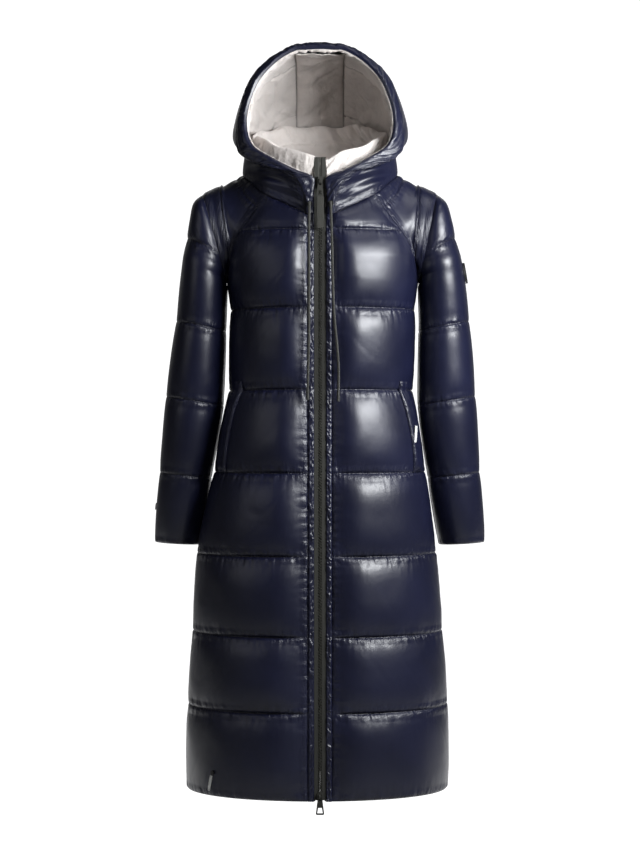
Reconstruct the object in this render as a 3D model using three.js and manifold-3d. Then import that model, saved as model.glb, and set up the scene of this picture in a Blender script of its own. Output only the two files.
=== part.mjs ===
// A long hooded puffer coat, closed and filled out with no wearer.
// Millimetres, +Z up. The front faces -Y and the wearer's left is +X.
// The origin is between the shoulders, where the wearer holds the coat up.
import * as THREE from 'three';
import Module from 'manifold-3d';

const wasm = await Module();
wasm.setup();

// Driving dimensions
const WALL = 3;                 // lining and shell of a padded wall, at a seam
const LINING = 2;               // thin satin wall
const SEAM = 0.22;              // each piece stays this far from its seam
const BEVEL = 0.9;              // the inside of a wall stops this much earlier
const CLEAR = 0.35;             // what lies on a panel clears it by this much
const SQUARE = 2.1;             // 2 is an ellipse, more is a squarer section
const CENTRE_EDGE = 22.3;       // the fronts start this far from the zip's middle
const PLACKET = { inner: 10.9, outer: 22, puff: 3, top: -78 };
const ZIP = { chain: 2.3, tape: 10.6, thick: 1.4, top: 27, bottom: -1147 };
const PUFF = { front: 23, back: 17, side: 4.5, sleeve: 11, sleeveSide: 3, shoulder: 6, strip: 2.5 };
const BAND_STEPS = [0, 0.12, 0.35, 0.65, 0.88, 1];
const SIDE_SEAM = THREE.MathUtils.degToRad(96);
const ARMPIT = -197;

const V = (x, y, z) => new THREE.Vector3(x, y, z);
const mix = (a, b, t) => a + (b - a) * t;
const blend = (a, b, t) => a.clone().lerp(b, t);

// Torso sections: half width, middle, depth in front and behind, by height
const TORSO = [
  { high: 30, half: 168, shift: 0, front: 82, back: 101 },
  { high: -38, half: 176, shift: 0, front: 110, back: 117 },
  { high: -104, half: 188, shift: 2, front: 131, back: 122 },
  { high: -152, half: 188, shift: 4, front: 137, back: 124 },
  { high: -197, half: 180, shift: 5, front: 140, back: 124 },
  { high: -249, half: 172.5, shift: 5.5, front: 141, back: 122 },
  { high: -400, half: 171.5, shift: 1.5, front: 135, back: 112 },
  { high: -553.5, half: 197.5, shift: -0.5, front: 147, back: 126 },
  { high: -706, half: 224.5, shift: -6.5, front: 158, back: 142 },
  { high: -852.7, half: 234, shift: -5, front: 164, back: 152 },
  { high: -990.5, half: 243.5, shift: -4.5, front: 168, back: 160 },
  { high: -1149.5, half: 245, shift: -5.5, front: 169, back: 165 },
];
// Quilting lines of the fronts and the back, and the hem
const QUILT = [-104, -249, -400, -553.5, -706, -852.7, -990.5, -1149.5];
// Raglan seams: how far across they are at each height
const RAGLAN_FRONT = [
  { high: -38, across: 101 }, { high: -104, across: 150 }, { high: -121, across: 161 },
  { high: -152, across: 172.5 }, { high: ARMPIT, across: 180 },
];
const RAGLAN_BACK = [
  { high: 20, across: 95 }, { high: -104, across: 157 }, { high: -121, across: 163 },
  { high: -152, across: 172.5 }, { high: ARMPIT, across: 180 },
];
// Rows of the fronts and back between the first two quilting lines
const CHEST_ROWS = [-104, -121, -152, ARMPIT, -232, -249];
// Columns of a front, as parts of its width, with the pocket's slit and outer edge
const FRONT_COLUMNS = [0, 0.06, 0.17, 0.3, 0.43, 'slit', 'welt', 0.82, 0.92, 1];
const POCKET = [
  { high: -249, slit: 0.54, welt: 0.66 }, { high: -400, slit: 0.54, welt: 0.65 },
  { high: -480, slit: 0.585, welt: 0.72 }, { high: -553.5, slit: 0.6, welt: 0.73 },
  { high: -1149.5, slit: 0.58, welt: 0.7 },
];
const WELT = { top: -382, bottom: -553.5, thick: 7 };
// Neck seam, from the front raglan over the side to the back raglan and middle
const NECK_FRONT = V(CENTRE_EDGE, -124, -77);
const NECK_SIDE = [
  V(101, -92, -38), V(128, -52, -13), V(146, -2, 8), V(131, 46, 18), V(95, 84, 20),
];
const NECK_BACK = [V(50, 96, 23), V(0, 101, 24)];
// Armhole seams A (yoke) and B (sleeve), from the front up over the shoulder
const SEAM_A = [
  { high: -145, across: 174, deep: 63 }, { high: -133, across: 175.5, deep: 69 },
  { high: -117, across: 177.5, deep: 73 }, { high: -88, across: 181, deep: 71 },
  { high: -56, across: 184.5, deep: 60 }, { high: -28, across: 187, deep: 39 },
];
const SEAM_A_TOP = { high: -12, across: 189 };
const SEAM_B = [-178, -160, -141, -100, -66, -38];
const SEAM_B_TOP = { high: -27, across: 221 };
const ARM_MIDDLE = 4;
const ARMHOLE = { middle: -112, half: 85.2, deep: 70, square: 2.2 };
// Sleeve sections: outer side, then where the row meets seam B or the inner side
const SLEEVE_ROWS = [
  { out: 223, outHigh: -26, seam: -38, puff: 0 },
  { out: 238, outHigh: -47, seam: -66, deep: 63, puff: 0.7 },
  { out: 246, outHigh: -80, seam: -100, deep: 72, puff: 0.9 },
  { out: 253, outHigh: -112, seam: -141, deep: 73, puff: 0 },
  { out: 258, outHigh: -134, seam: -160, deep: 73, puff: 0.65 },
  { out: 262.5, outHigh: -158, seam: -178, deep: 73, puff: 0.95 },
  { out: 269, outHigh: -199, in: 182.4, inHigh: -199.5, deep: 72, middle: 5, puff: 1 },
  { out: 275, outHigh: -250, in: 183, inHigh: -267, deep: 70, middle: 7, puff: 0.65 },
  { out: 277, outHigh: -269, in: 183, inHigh: -288, deep: 70, middle: 7, puff: 0 },
];
const SLEEVE_BANDS = [
  { out: 277, outHigh: -269, in: 183, inHigh: -288, deep: 70, middle: 7 },
  { out: 293, outHigh: -411, in: 185, inHigh: -428, deep: 63, middle: 13 },
  { out: 304, outHigh: -555, in: 207, inHigh: -565, deep: 55, middle: 25 },
  { out: 316, outHigh: -689, in: 229, inHigh: -694, deep: 50, middle: 52 },
];
const AROUND = 16;

// Hood: the edge of the face opening and the seam of its casing
const HOOD_EDGE = [
  V(12, -127, -76), V(11.6, -133, -42), V(11.4, -138, -12), V(42, -140, 0), V(84, -135, 22),
  V(127, -119, 52), V(138, -108, 103), V(120, -99, 165), V(88, -94, 206), V(50, -92, 231),
];
const HOOD_CASING = [
  V(27, -125, -75), V(29, -132, -48), V(42, -137, -18), V(66, -134, 2), V(106, -122, 12),
  V(147, -98, 38), V(150, -86, 100), V(131, -76, 172), V(96, -71, 214), V(51, -69, 238),
];
const HOOD_TOP = [
  V(51, -69, 238), V(50, -30, 245), V(49, 15, 245), V(48, 58, 235), V(48, 98, 215),
  V(48, 130, 183), V(48, 146, 140), V(48, 141, 88), V(47, 124, 52), V(46, 98, 26),
];
const HOOD_CROWN = 6;           // the middle of the centre panel stands this much higher

// Collar inside the hood: lower and upper edge, from the zip to the middle behind
const COLLAR = [
  { low: V(13, -117, -64), top: V(10.55, -125, 27) }, { low: V(36, -106, -56), top: V(38, -121, 36) },
  { low: V(80, -80, -26), top: V(86, -103, 52) }, { low: V(107, -46, -2), top: V(112, -66, 68) },
  { low: V(124, -3, 17), top: V(126, -10, 84) }, { low: V(112, 38, 27), top: V(117, 44, 98) },
  { low: V(84, 72, 29), top: V(90, 84, 110) }, { low: V(44, 84, 32), top: V(46, 108, 117) },
  { low: V(0, 89, 33), top: V(0, 115, 119) },
];

const NAVY = { color: 0x14172c, roughness: 0.28, metalness: 0 };
const SATIN = { color: 0xc3bab5, roughness: 0.42, metalness: 0 };
const TAPE = { color: 0x2b2b28, roughness: 0.75, metalness: 0 };
const METAL = { color: 0x3a3a36, roughness: 0.4, metalness: 0.8 };
const BLACK = { color: 0x101010, roughness: 0.5, metalness: 0 };
const WHITE = { color: 0xe6e6e2, roughness: 0.7, metalness: 0 };

const coat = new THREE.Group();

function add(name, geometry, look) {
  const mesh = new THREE.Mesh(geometry, new THREE.MeshStandardMaterial(look));
  mesh.name = name;
  coat.add(mesh);
  return mesh;
}

// Closed solids from loose triangles: equal corners are shared, faces point out

function solid(triangles) {
  const index = new Map();
  const places = [];
  const faces = [];
  const corner = (p) => {
    const key = [p.x, p.y, p.z].map((c) => Math.round(c * 1000)).join();
    if (!index.has(key)) {
      index.set(key, places.length / 3);
      places.push(p.x, p.y, p.z);
    }
    return index.get(key);
  };
  let volume = 0;
  for (const [a, b, c] of triangles) {
    const [i, j, k] = [corner(a), corner(b), corner(c)];
    if (i === j || j === k || k === i) continue;
    faces.push(i, j, k);
    volume += a.dot(b.clone().cross(c));
  }
  if (volume < 0) faces.reverse();
  const geometry = new THREE.BufferGeometry();
  geometry.setAttribute('position', new THREE.Float32BufferAttribute(places, 3));
  geometry.setIndex(faces);
  return geometry;
}

function toManifold(geometry) {
  const at = geometry.attributes.position;
  const triangles = [];
  const count = geometry.index ? geometry.index.count : at.count;
  const pick = (n) => V(0, 0, 0).fromBufferAttribute(at, geometry.index ? geometry.index.getX(n) : n);
  for (let n = 0; n < count; n += 3) triangles.push([pick(n), pick(n + 1), pick(n + 2)]);
  const closed = solid(triangles);
  return new wasm.Manifold(new wasm.Mesh({
    numProp: 3,
    vertProperties: Float32Array.from(closed.attributes.position.array),
    triVerts: Uint32Array.from(closed.index.array),
  }));
}

function fromManifold(manifold) {
  const mesh = manifold.getMesh();
  const geometry = new THREE.BufferGeometry();
  const places = [];
  for (let n = 0; n < mesh.numVert; n++) {
    for (let axis = 0; axis < 3; axis++) places.push(mesh.vertProperties[n * mesh.numProp + axis]);
  }
  geometry.setAttribute('position', new THREE.Float32BufferAttribute(places, 3));
  geometry.setIndex(Array.from(mesh.triVerts));
  return geometry;
}

// A closed wall over a grid: rows of points, a direction out and a lift for each.
// From row wrapFrom on, the first and last columns meet and the wall is a tube.

function towards(grid, i, j, di, dj, far) {
  const next = grid[i + di]?.[j + dj];
  const step = next.clone().sub(grid[i][j]);
  return step.length() < 1e-6 ? step : step.setLength(far);
}

function inset(grid, far, wrapFrom) {
  const last = grid.length - 1;
  return grid.map((row, i) => row.map((point, j) => {
    const moved = point.clone();
    if (i === 0) moved.add(towards(grid, i, j, 1, 0, far));
    if (i === last) moved.add(towards(grid, i, j, -1, 0, far));
    if (i < wrapFrom && j === 0) moved.add(towards(grid, i, j, 0, 1, far));
    if (i < wrapFrom && j === row.length - 1) moved.add(towards(grid, i, j, 0, -1, far));
    return moved;
  }));
}

function gridNormals(grid, out, wrapFrom = Infinity) {
  const last = grid.length - 1;
  const side = grid[0].length - 1;
  return grid.map((row, i) => row.map((_, j) => {
    const closed = i >= wrapFrom && (j === 0 || j === side);
    const left = closed ? grid[i][side - 1] : grid[i][Math.max(j - 1, 0)];
    const right = closed ? grid[i][1] : grid[i][Math.min(j + 1, side)];
    const across = right.clone().sub(left);
    const along = grid[Math.min(i + 1, last)][j].clone().sub(grid[Math.max(i - 1, 0)][j]);
    return along.cross(across).normalize().multiplyScalar(out);
  }));
}

function wall({
  grid, normals, lift = () => 0, thick = () => WALL, keep = null, wrapFrom = Infinity,
  deep = 0, bevel = BEVEL,
}) {
  const last = grid.length - 1;
  const side = grid[0].length - 1;
  const kept = keep ?? grid.map((_, i) => i);
  const outer = inset(grid, SEAM, wrapFrom).map((row, i) => row.map(
    (p, j) => p.addScaledVector(normals[i][j], lift(i, j) - deep)));
  const inner = inset(grid, SEAM + bevel, wrapFrom).map((row, i) => row.map(
    (p, j) => p.addScaledVector(normals[i][j], -thick(i, j) - deep)));
  const faces = [];
  const quad = (a, b, c, d) => faces.push([a, b, c], [a, c, d]);
  for (let i = 0; i < last; i++) {
    for (let j = 0; j < side; j++) {
      quad(outer[i][j], outer[i + 1][j], outer[i + 1][j + 1], outer[i][j + 1]);
    }
  }
  for (let n = 0; n + 1 < kept.length; n++) {
    const [a, b] = [kept[n], kept[n + 1]];
    for (let j = 0; j < side; j++) {
      quad(inner[a][j], inner[a][j + 1], inner[b][j + 1], inner[b][j]);
    }
    if (a >= wrapFrom) continue;
    for (let i = a; i < b; i++) {
      faces.push([inner[a][0], outer[i + 1][0], outer[i][0]]);
      faces.push([inner[a][side], outer[i][side], outer[i + 1][side]]);
    }
    faces.push([inner[a][0], inner[b][0], outer[b][0]]);
    faces.push([inner[a][side], outer[b][side], inner[b][side]]);
  }
  for (let j = 0; j < side; j++) {
    quad(outer[0][j], outer[0][j + 1], inner[0][j + 1], inner[0][j]);
    quad(outer[last][j + 1], outer[last][j], inner[last][j], inner[last][j + 1]);
  }
  return { geometry: solid(faces), outer };
}

// Where two grids share a point, both take the same direction there

function shareDirections(gridA, outA, gridB, outB) {
  for (let i = 0; i < gridA.length; i++) {
    for (let j = 0; j < gridA[i].length; j++) {
      for (let k = 0; k < gridB.length; k++) {
        for (let m = 0; m < gridB[k].length; m++) {
          if (gridA[i][j].distanceTo(gridB[k][m]) > 0.01) continue;
          const both = outA[i][j].clone().add(outB[k][m]).normalize();
          outA[i][j].copy(both);
          outB[k][m].copy(both);
        }
      }
    }
  }
}

// A patch between four edges that share their corners

function patch(start, end, first, final, places = first.map((_, i) => i / (first.length - 1))) {
  const columns = start.length - 1;
  return first.map((_, i) => start.map((_, j) => {
    const [a, b] = [places[i], j / columns];
    const point = V(0, 0, 0);
    point.addScaledVector(start[j], 1 - a).addScaledVector(end[j], a);
    point.addScaledVector(first[i], 1 - b).addScaledVector(final[i], b);
    point.addScaledVector(start[0], -(1 - a) * (1 - b)).addScaledVector(start[columns], -(1 - a) * b);
    point.addScaledVector(end[0], -a * (1 - b)).addScaledVector(end[columns], -a * b);
    return point;
  }));
}

// Shares of a line's length at its points
function shares(line) {
  const runs = [0];
  for (let n = 1; n < line.length; n++) runs.push(runs.at(-1) + line[n].distanceTo(line[n - 1]));
  return runs.map((run) => run / runs.at(-1));
}

function lookup(rows, high, column) {
  let n = 0;
  while (n + 2 < rows.length && high < rows[n + 1].high) n++;
  const [a, b] = [rows[n], rows[n + 1]];
  const t = THREE.MathUtils.clamp((high - a.high) / (b.high - a.high), 0, 1);
  return mix(a[column], b[column], t);
}

const shift = (high) => lookup(TORSO, high, 'shift');
// The sleeves follow the body's sideways shift only down to the hip line
const lean = (high) => shift(Math.max(high, QUILT[3]));
const place = (side, across, y, high) => V(side * across + shift(high), y, high);
const flip = (side, p) => V(side * p.x, p.y, p.z);
const power = (value, exponent) => Math.sign(value) * Math.abs(value) ** exponent;

// Pillow height across a quilted channel, from 0 at its seams to 1
const pillow = (t) => Math.max(0, 1 - Math.abs(2 * t - 1) ** 2.6) ** 0.62;
// Pillow height near the two side edges of a panel
const pinch = (v, start, end) => Math.min(1, v / start) ** 0.6 * Math.min(1, (1 - v) / end) ** 0.6;

function torso(high, angle) {
  const [s, c] = [Math.sin(angle), Math.cos(angle)];
  const half = lookup(TORSO, high, 'half');
  const depth = lookup(TORSO, high, c > 0 ? 'front' : 'back');
  const point = V(shift(high) + half * power(s, 2 / SQUARE), -depth * power(c, 2 / SQUARE), high);
  const out = V(power(s, 2 - 2 / SQUARE) / half, -power(c, 2 - 2 / SQUARE) / depth, 0).normalize();
  return { point, out };
}

const angleAt = (high, across) =>
  Math.asin(Math.min(1, across / lookup(TORSO, high, 'half')) ** (SQUARE / 2));

function seamAngle(high) {
  return mix(Math.PI / 2, SIDE_SEAM, THREE.MathUtils.clamp((ARMPIT - high) / 52, 0, 1));
}

const raglanFront = (high) => torso(high, angleAt(high, lookup(RAGLAN_FRONT, high, 'across'))).point;
const raglanBack = (high) =>
  torso(high, Math.PI - angleAt(high, lookup(RAGLAN_BACK, high, 'across'))).point;

// Rows of a front or back: the neck piece, the chest band and the plain bands

function bandRows(neckSteps) {
  const rows = [];
  for (let n = 0; n < neckSteps; n++) {
    rows.push({ neck: n / neckSteps, t: n / neckSteps, keep: n === 0 });
  }
  const [top, bottom] = [CHEST_ROWS[0], CHEST_ROWS.at(-1)];
  for (const high of CHEST_ROWS) {
    rows.push({ high, t: (high - top) / (bottom - top), keep: high >= ARMPIT || high === bottom });
  }
  for (let n = 1; n + 1 < QUILT.length; n++) {
    for (const t of BAND_STEPS.slice(1)) {
      rows.push({ high: mix(QUILT[n], QUILT[n + 1], t), t, keep: t === 1 });
    }
  }
  return rows;
}

const keptRows = (rows) => rows.flatMap((row, i) => (row.keep ? [i] : []));

const frontSurfaces = {};

function front(side, name) {
  const rows = bandRows(3);
  const columns = FRONT_COLUMNS;
  const part = (high, column) =>
    typeof column === 'number' ? column : lookup(POCKET, high, column);
  const angle = (high, column) => {
    const start = angleAt(high, CENTRE_EDGE - side * shift(high));
    const end = high < ARMPIT ? seamAngle(high) : angleAt(high, lookup(RAGLAN_FRONT, high, 'across'));
    return mix(start, end, part(high, column));
  };
  const onTorso = (high, column) => {
    const { point, out } = torso(high, angle(high, column));
    const mirrored = V(2 * shift(high) - point.x, point.y, point.z);
    return side > 0 ? { point, out } : { point: mirrored, out: flip(-1, out) };
  };
  const cell = rows.map((row) => columns.map((column) => {
    if (row.high !== undefined) return onTorso(row.high, column);
    const below = onTorso(QUILT[0], column);
    const v = part(QUILT[0], column);
    const above = blend(flip(side, NECK_FRONT), flip(side, NECK_SIDE[0]), v);
    return { point: blend(above, below.point, row.neck), out: below.out };
  }));
  const lift = (i, j) => {
    const { t, high = QUILT[0] } = rows[i];
    const v = part(high, columns[j]);
    const facing = Math.cos(angle(high, columns[j])) ** 2;
    const full = PUFF.side + (PUFF.front - PUFF.side) * facing;
    const size = rows[i].neck === undefined ? 1 : 0.5;
    const armEase = high > QUILT[1] ? 0.35 : 0.1;
    return size * full * pillow(t) * pinch(v, 0.14, armEase);
  };
  const grid = cell.map((row) => row.map(({ point }) => point));
  const normals = cell.map((row) => row.map(({ out }) => out));
  const made = wall({ grid, normals, lift, keep: keptRows(rows) });
  add(name, made.geometry, NAVY);
  frontSurfaces[side] = { rows, outer: made.outer, normals };
}

front(1, 'front_left');
front(-1, 'front_right');

function back() {
  const rows = bandRows(3);
  const half = 7;
  const columns = Array.from({ length: 2 * half + 1 }, (_, j) => j / half - 1);
  const spot = (high, v) => {
    const end = high < ARMPIT ? seamAngle(high)
      : Math.PI - angleAt(high, lookup(RAGLAN_BACK, high, 'across'));
    const { point, out } = torso(high, Math.PI - (Math.PI - end) * Math.abs(v));
    if (v >= 0) return { point, out };
    return { point: V(2 * shift(high) - point.x, point.y, point.z), out: flip(-1, out) };
  };
  const neckEdge = [NECK_BACK[1], NECK_BACK[0], NECK_SIDE.at(-1)];
  const onNeck = (v) => {
    const along = Math.abs(v) * half;
    const first = 3;
    const point = along <= first ? blend(neckEdge[0], neckEdge[1], along / first)
      : blend(neckEdge[1], neckEdge[2], (along - first) / (half - first));
    return flip(Math.sign(v) || 1, point);
  };
  const cell = rows.map((row) => columns.map((v) => {
    if (row.high !== undefined) return spot(row.high, v);
    const below = spot(QUILT[0], v);
    return { point: blend(onNeck(v), below.point, row.neck), out: below.out };
  }));
  const lift = (i, j) => {
    const v = Math.abs(columns[j]);
    const full = mix(PUFF.back, PUFF.side, v * v);
    const armEase = (rows[i].high ?? 0) > QUILT[1] ? 0.4 : 0.15;
    return full * pillow(rows[i].t) * Math.min(1, (1 - v) / armEase) ** 0.6;
  };
  add('back', wall({
    grid: cell.map((row) => row.map(({ point }) => point)),
    normals: cell.map((row) => row.map(({ out }) => out)),
    lift,
    keep: keptRows(rows),
  }).geometry, NAVY);
}

back();

// Padded strips beside the zip, the tapes and the chain follow the front's middle line

const zipDepth = (high) => {
  if (high <= QUILT[0]) return lookup(TORSO, high, 'front');
  const climb = [
    { high: 27, deep: 126 }, { high: -12, deep: 135 }, { high: -42, deep: 130 },
    { high: -77, deep: 124.5 }, { high: QUILT[0], deep: lookup(TORSO, QUILT[0], 'front') },
  ];
  return lookup(climb, high, 'deep');
};

function strip(from, to, top, bottom, side, proud, thick, steps) {
  const highs = [top, ...[-12, -42, -77, ...QUILT].filter((h) => h < top && h > bottom), bottom];
  const rows = highs.flatMap((high, n) => (n + 1 < highs.length
    ? Array.from({ length: steps }, (_, k) => mix(high, highs[n + 1], k / steps)) : [high]));
  const grid = rows.map((high) => [from, (from + to) / 2, to].map(
    (across) => V(side * across, -zipDepth(high) + across * 0.02, high)));
  const normals = grid.map((row) => row.map(() => V(0, -1, 0)));
  const lift = (i, j) => (j === 1 ? proud : 0);
  return wall({ grid, normals, lift, thick: () => thick }).geometry;
}

const SIDES = [[1, 'left'], [-1, 'right']];
for (const [side, name] of SIDES) {
  const padded = strip(PLACKET.inner, PLACKET.outer, PLACKET.top, QUILT.at(-1), side, PLACKET.puff, WALL, 2);
  add(`placket_${name}`, padded, NAVY);
  const tape = strip(ZIP.chain + 0.4, ZIP.tape, ZIP.top, ZIP.bottom, side, 0.1, ZIP.thick, 1);
  add(`zip_tape_${name}`, tape, TAPE);
}

// Shoulders: yokes, armhole strips and sleeves

const JOINED = { front: [-38, null, null, -104, -121, -152], back: [20, null, null, -104, -121, -152] };

function raglanLine(kind, start) {
  const at = kind === 'front' ? raglanFront : raglanBack;
  const low = at(QUILT[0]);
  return JOINED[kind].map((high, n) => (n < 3 ? blend(start, low, n / 3) : at(high)));
}

function loopA() {
  const [frontEnd, backEnd] = [raglanFront(-152), raglanBack(-152)];
  const row = (sign) => SEAM_A.map(
    ({ high, across, deep }) => place(1, across, ARM_MIDDLE + sign * deep, high));
  const top = place(1, SEAM_A_TOP.across, ARM_MIDDLE, SEAM_A_TOP.high);
  return [frontEnd, ...row(-1), top, ...row(1).reverse(), backEnd];
}

const seamBAcross = (high) =>
  mix(180, SEAM_B_TOP.across, (high - ARMPIT) / (SEAM_B_TOP.high - ARMPIT));
const seamBDeep = (high) => {
  const from = Math.abs((high - ARMHOLE.middle) / ARMHOLE.half);
  return ARMHOLE.deep * Math.max(0, 1 - from ** ARMHOLE.square) ** (1 / ARMHOLE.square);
};
const onSeamB = (high, sign) => place(1, seamBAcross(high), ARM_MIDDLE + sign * seamBDeep(high), high);

function loopB() {
  const armpit = torso(ARMPIT, Math.PI / 2).point;
  const top = place(1, SEAM_B_TOP.across, ARM_MIDDLE, SEAM_B_TOP.high);
  const frontHalf = SEAM_B.map((high) => onSeamB(high, -1));
  const backHalf = SEAM_B.map((high) => onSeamB(high, 1)).reverse();
  return [armpit, ...frontHalf, top, ...backHalf, armpit];
}

// The neck edge of a yoke has as many points as its armhole seam
function yokeNeck(count) {
  const knots = [0, 3, 7, 11, count];
  const points = [];
  for (let n = 0; n <= count; n++) {
    const k = Math.min(knots.findLastIndex((knot) => knot <= n), knots.length - 2);
    points.push(blend(NECK_SIDE[k], NECK_SIDE[k + 1], (n - knots[k]) / (knots[k + 1] - knots[k])));
  }
  return points;
}

const mirrorX = (side, point) =>
  (side > 0 ? point : V(2 * lean(point.z) - point.x, point.y, point.z));

const armholes = {};

function shoulder(side, name) {
  const a = loopA();
  const b = loopB();
  const neck = yokeNeck(a.length - 1);
  const lines = [raglanLine('front', NECK_SIDE[0]), raglanLine('back', NECK_SIDE.at(-1))];
  const yoke = patch(neck, a, ...lines, shares(lines[0]));
  const lastLine = (at) => [at(-152), blend(at(-152), at(ARMPIT), 0.5), at(ARMPIT)];
  const strap = patch(a, b, lastLine(raglanFront), lastLine(raglanBack));
  const joined = [...yoke, ...strap.slice(1)].map((row) => row.map((point) => mirrorX(side, point)));
  const normals = gridNormals(joined, side);
  const seam = yoke.length - 1;
  const sewn = sleeveGrid(side);
  shareDirections(joined.slice(seam + 1), normals.slice(seam + 1), sewn.grid, sewn.normals);
  armholes[side] = sewn;
  for (const [node, from, to, puff, bevel] of [
    ['yoke', 0, seam, PUFF.shoulder, BEVEL], ['armhole_strip', seam, joined.length - 1, PUFF.strip, 2.4]]) {
    const around = joined[0].length - 1;
    add(`${node}_${name}`, wall({
      grid: joined.slice(from, to + 1),
      normals: normals.slice(from, to + 1),
      lift: (i, j) => puff * pillow(i / (to - from)) * pinch(j / around, 0.3, 0.3),
      bevel,
    }).geometry, NAVY);
  }
}

function capRow(row) {
  const seam = onSeamB(row.seam, -1);
  const outX = row.out + lean(row.outHigh);
  if (!row.deep) {
    const top = place(1, SEAM_B_TOP.across, ARM_MIDDLE, SEAM_B_TOP.high);
    const rear = onSeamB(row.seam, 1);
    return Array.from({ length: AROUND + 1 }, (_, j) => {
      const t = (2 * j) / AROUND;
      return t <= 1 ? blend(seam, top, t) : blend(top, rear, t - 1);
    });
  }
  const half = seamBDeep(row.seam);
  const turn = Math.PI - Math.asin(Math.min(1, half / row.deep));
  const reach = [outX - seam.x, row.outHigh - row.seam].map((d) => d / (1 - Math.cos(turn)));
  return Array.from({ length: AROUND + 1 }, (_, j) => {
    const angle = turn * (1 - (2 * j) / AROUND);
    const fall = 1 - Math.cos(angle);
    const y = ARM_MIDDLE - row.deep * Math.sin(angle);
    return V(outX - reach[0] * fall, y, row.outHigh - reach[1] * fall);
  });
}

function ringRow(row) {
  const [outX, inX] = [row.out, row.in].map((x) => x + lean(row.outHigh));
  return Array.from({ length: AROUND + 1 }, (_, j) => {
    const angle = Math.PI * (1 - (2 * j) / AROUND);
    const part = (1 - Math.cos(angle)) / 2;
    const y = row.middle - row.deep * (j % AROUND === 0 ? 0 : Math.sin(angle));
    return V(mix(outX, inX, part), y, mix(row.outHigh, row.inHigh, part));
  });
}

function sleeveGrid(side) {
  const rows = [...SLEEVE_ROWS];
  for (let n = 0; n + 1 < SLEEVE_BANDS.length; n++) {
    const [a, b] = [SLEEVE_BANDS[n], SLEEVE_BANDS[n + 1]];
    for (const t of BAND_STEPS.slice(1)) {
      const row = { puff: pillow(t) };
      for (const column of Object.keys(a)) row[column] = mix(a[column], b[column], t);
      rows.push(row);
    }
  }
  const wrapFrom = SLEEVE_ROWS.findIndex((row) => row.in !== undefined);
  const grid = rows.map((row) => (row.in === undefined ? capRow(row) : ringRow(row))
    .map((point) => mirrorX(side, point)));
  return { rows, wrapFrom, grid, normals: gridNormals(grid, side, wrapFrom) };
}

function sleeve(side, name) {
  const { rows, wrapFrom, grid, normals } = armholes[side];
  const lift = (i, j) => {
    const angle = Math.PI * (1 - (2 * j) / AROUND);
    const facing = Math.sin(angle) ** 2;
    const seamEase = i < wrapFrom ? pinch(j / AROUND, 0.12, 0.12) : 1;
    const inward = Math.cos(angle) < -0.3 ? 0.6 : 1;
    return rows[i].puff * seamEase * mix(PUFF.sleeveSide * inward, PUFF.sleeve, facing);
  };
  const seamRow = (row, i) => i <= wrapFrom || row.puff === 0 || i === rows.length - 1;
  const keep = rows.flatMap((row, i) => (seamRow(row, i) ? [i] : []));
  const made = wall({ grid, normals, lift, keep, wrapFrom, bevel: 3.4 });
  add(`sleeve_${name}`, made.geometry, NAVY);
  return made;
}

for (const [side, name] of SIDES) shoulder(side, name);
const sleeves = { 1: sleeve(1, 'left'), '-1': sleeve(-1, 'right') };

// Hood shell, its gathered casing and its lining

const HOOD_NECK = (() => {
  const [jf, n1, n2, n3, jb] = NECK_SIDE.map((p) => V(p.x, p.y, p.z + 0.4));
  const start = HOOD_CASING[0];
  return [start, blend(start, jf, 0.5), jf, n1, n2, n3, blend(n3, jb, 0.5), jb,
    blend(jb, HOOD_TOP.at(-1), 0.5), HOOD_TOP.at(-1)];
})();

// A half of the hood: rows go from the casing to the back of the neck
const HOOD_BULGE = 9;

function hoodSide() {
  const grid = patch(HOOD_CASING, HOOD_CASING.map(() => HOOD_TOP.at(-1)), HOOD_NECK, HOOD_TOP);
  const last = grid.length - 1;
  const side = grid[0].length - 1;
  const bulge = (i, j) =>
    HOOD_BULGE * Math.sin((Math.PI * i) / last) * Math.sin(Math.PI * Math.sqrt(j / side));
  return grid.map((row, i) => row.map((p, j) => V(p.x + bulge(i, j), p.y, p.z)));
}

const CENTRE_COLUMNS = [-1, -0.5, 0, 0.5, 1];

function hoodCentre() {
  const last = HOOD_TOP.length - 1;
  const grid = HOOD_TOP.map((point, i) => CENTRE_COLUMNS.map(
    (v) => V(v * (point.x - (i === last ? 2 : 0)), point.y, point.z)));
  const normals = gridNormals(grid, -1);
  return grid.map((row, i) => row.map(
    (p, j) => p.addScaledVector(normals[i][2], HOOD_CROWN * (1 - CENTRE_COLUMNS[j] ** 2))));
}

// The casing runs from the zip up one side of the face, over it and down the other
function hoodCasing(first) {
  const edge = HOOD_EDGE.slice(first);
  const seam = HOOD_CASING.slice(first);
  const crown = hoodCentre()[0].slice(1, 4);
  const overEdge = crown.map(
    (p) => V(p.x, edge.at(-1).y, edge.at(-1).z + 0.7 * (p.z - seam.at(-1).z)));
  const along = (half, middle) =>
    [...half.map((p) => flip(-1, p)), ...middle, ...half.toReversed()];
  const front = along(edge, overEdge);
  const rear = along(seam, crown);
  return front.map((p, i) => [0, 1 / 3, 2 / 3, 1].map((t) => blend(p, rear[i], t)));
}

const arc = (t) => Math.sqrt(Math.max(0, 1 - (2 * t - 1) ** 2));

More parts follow.
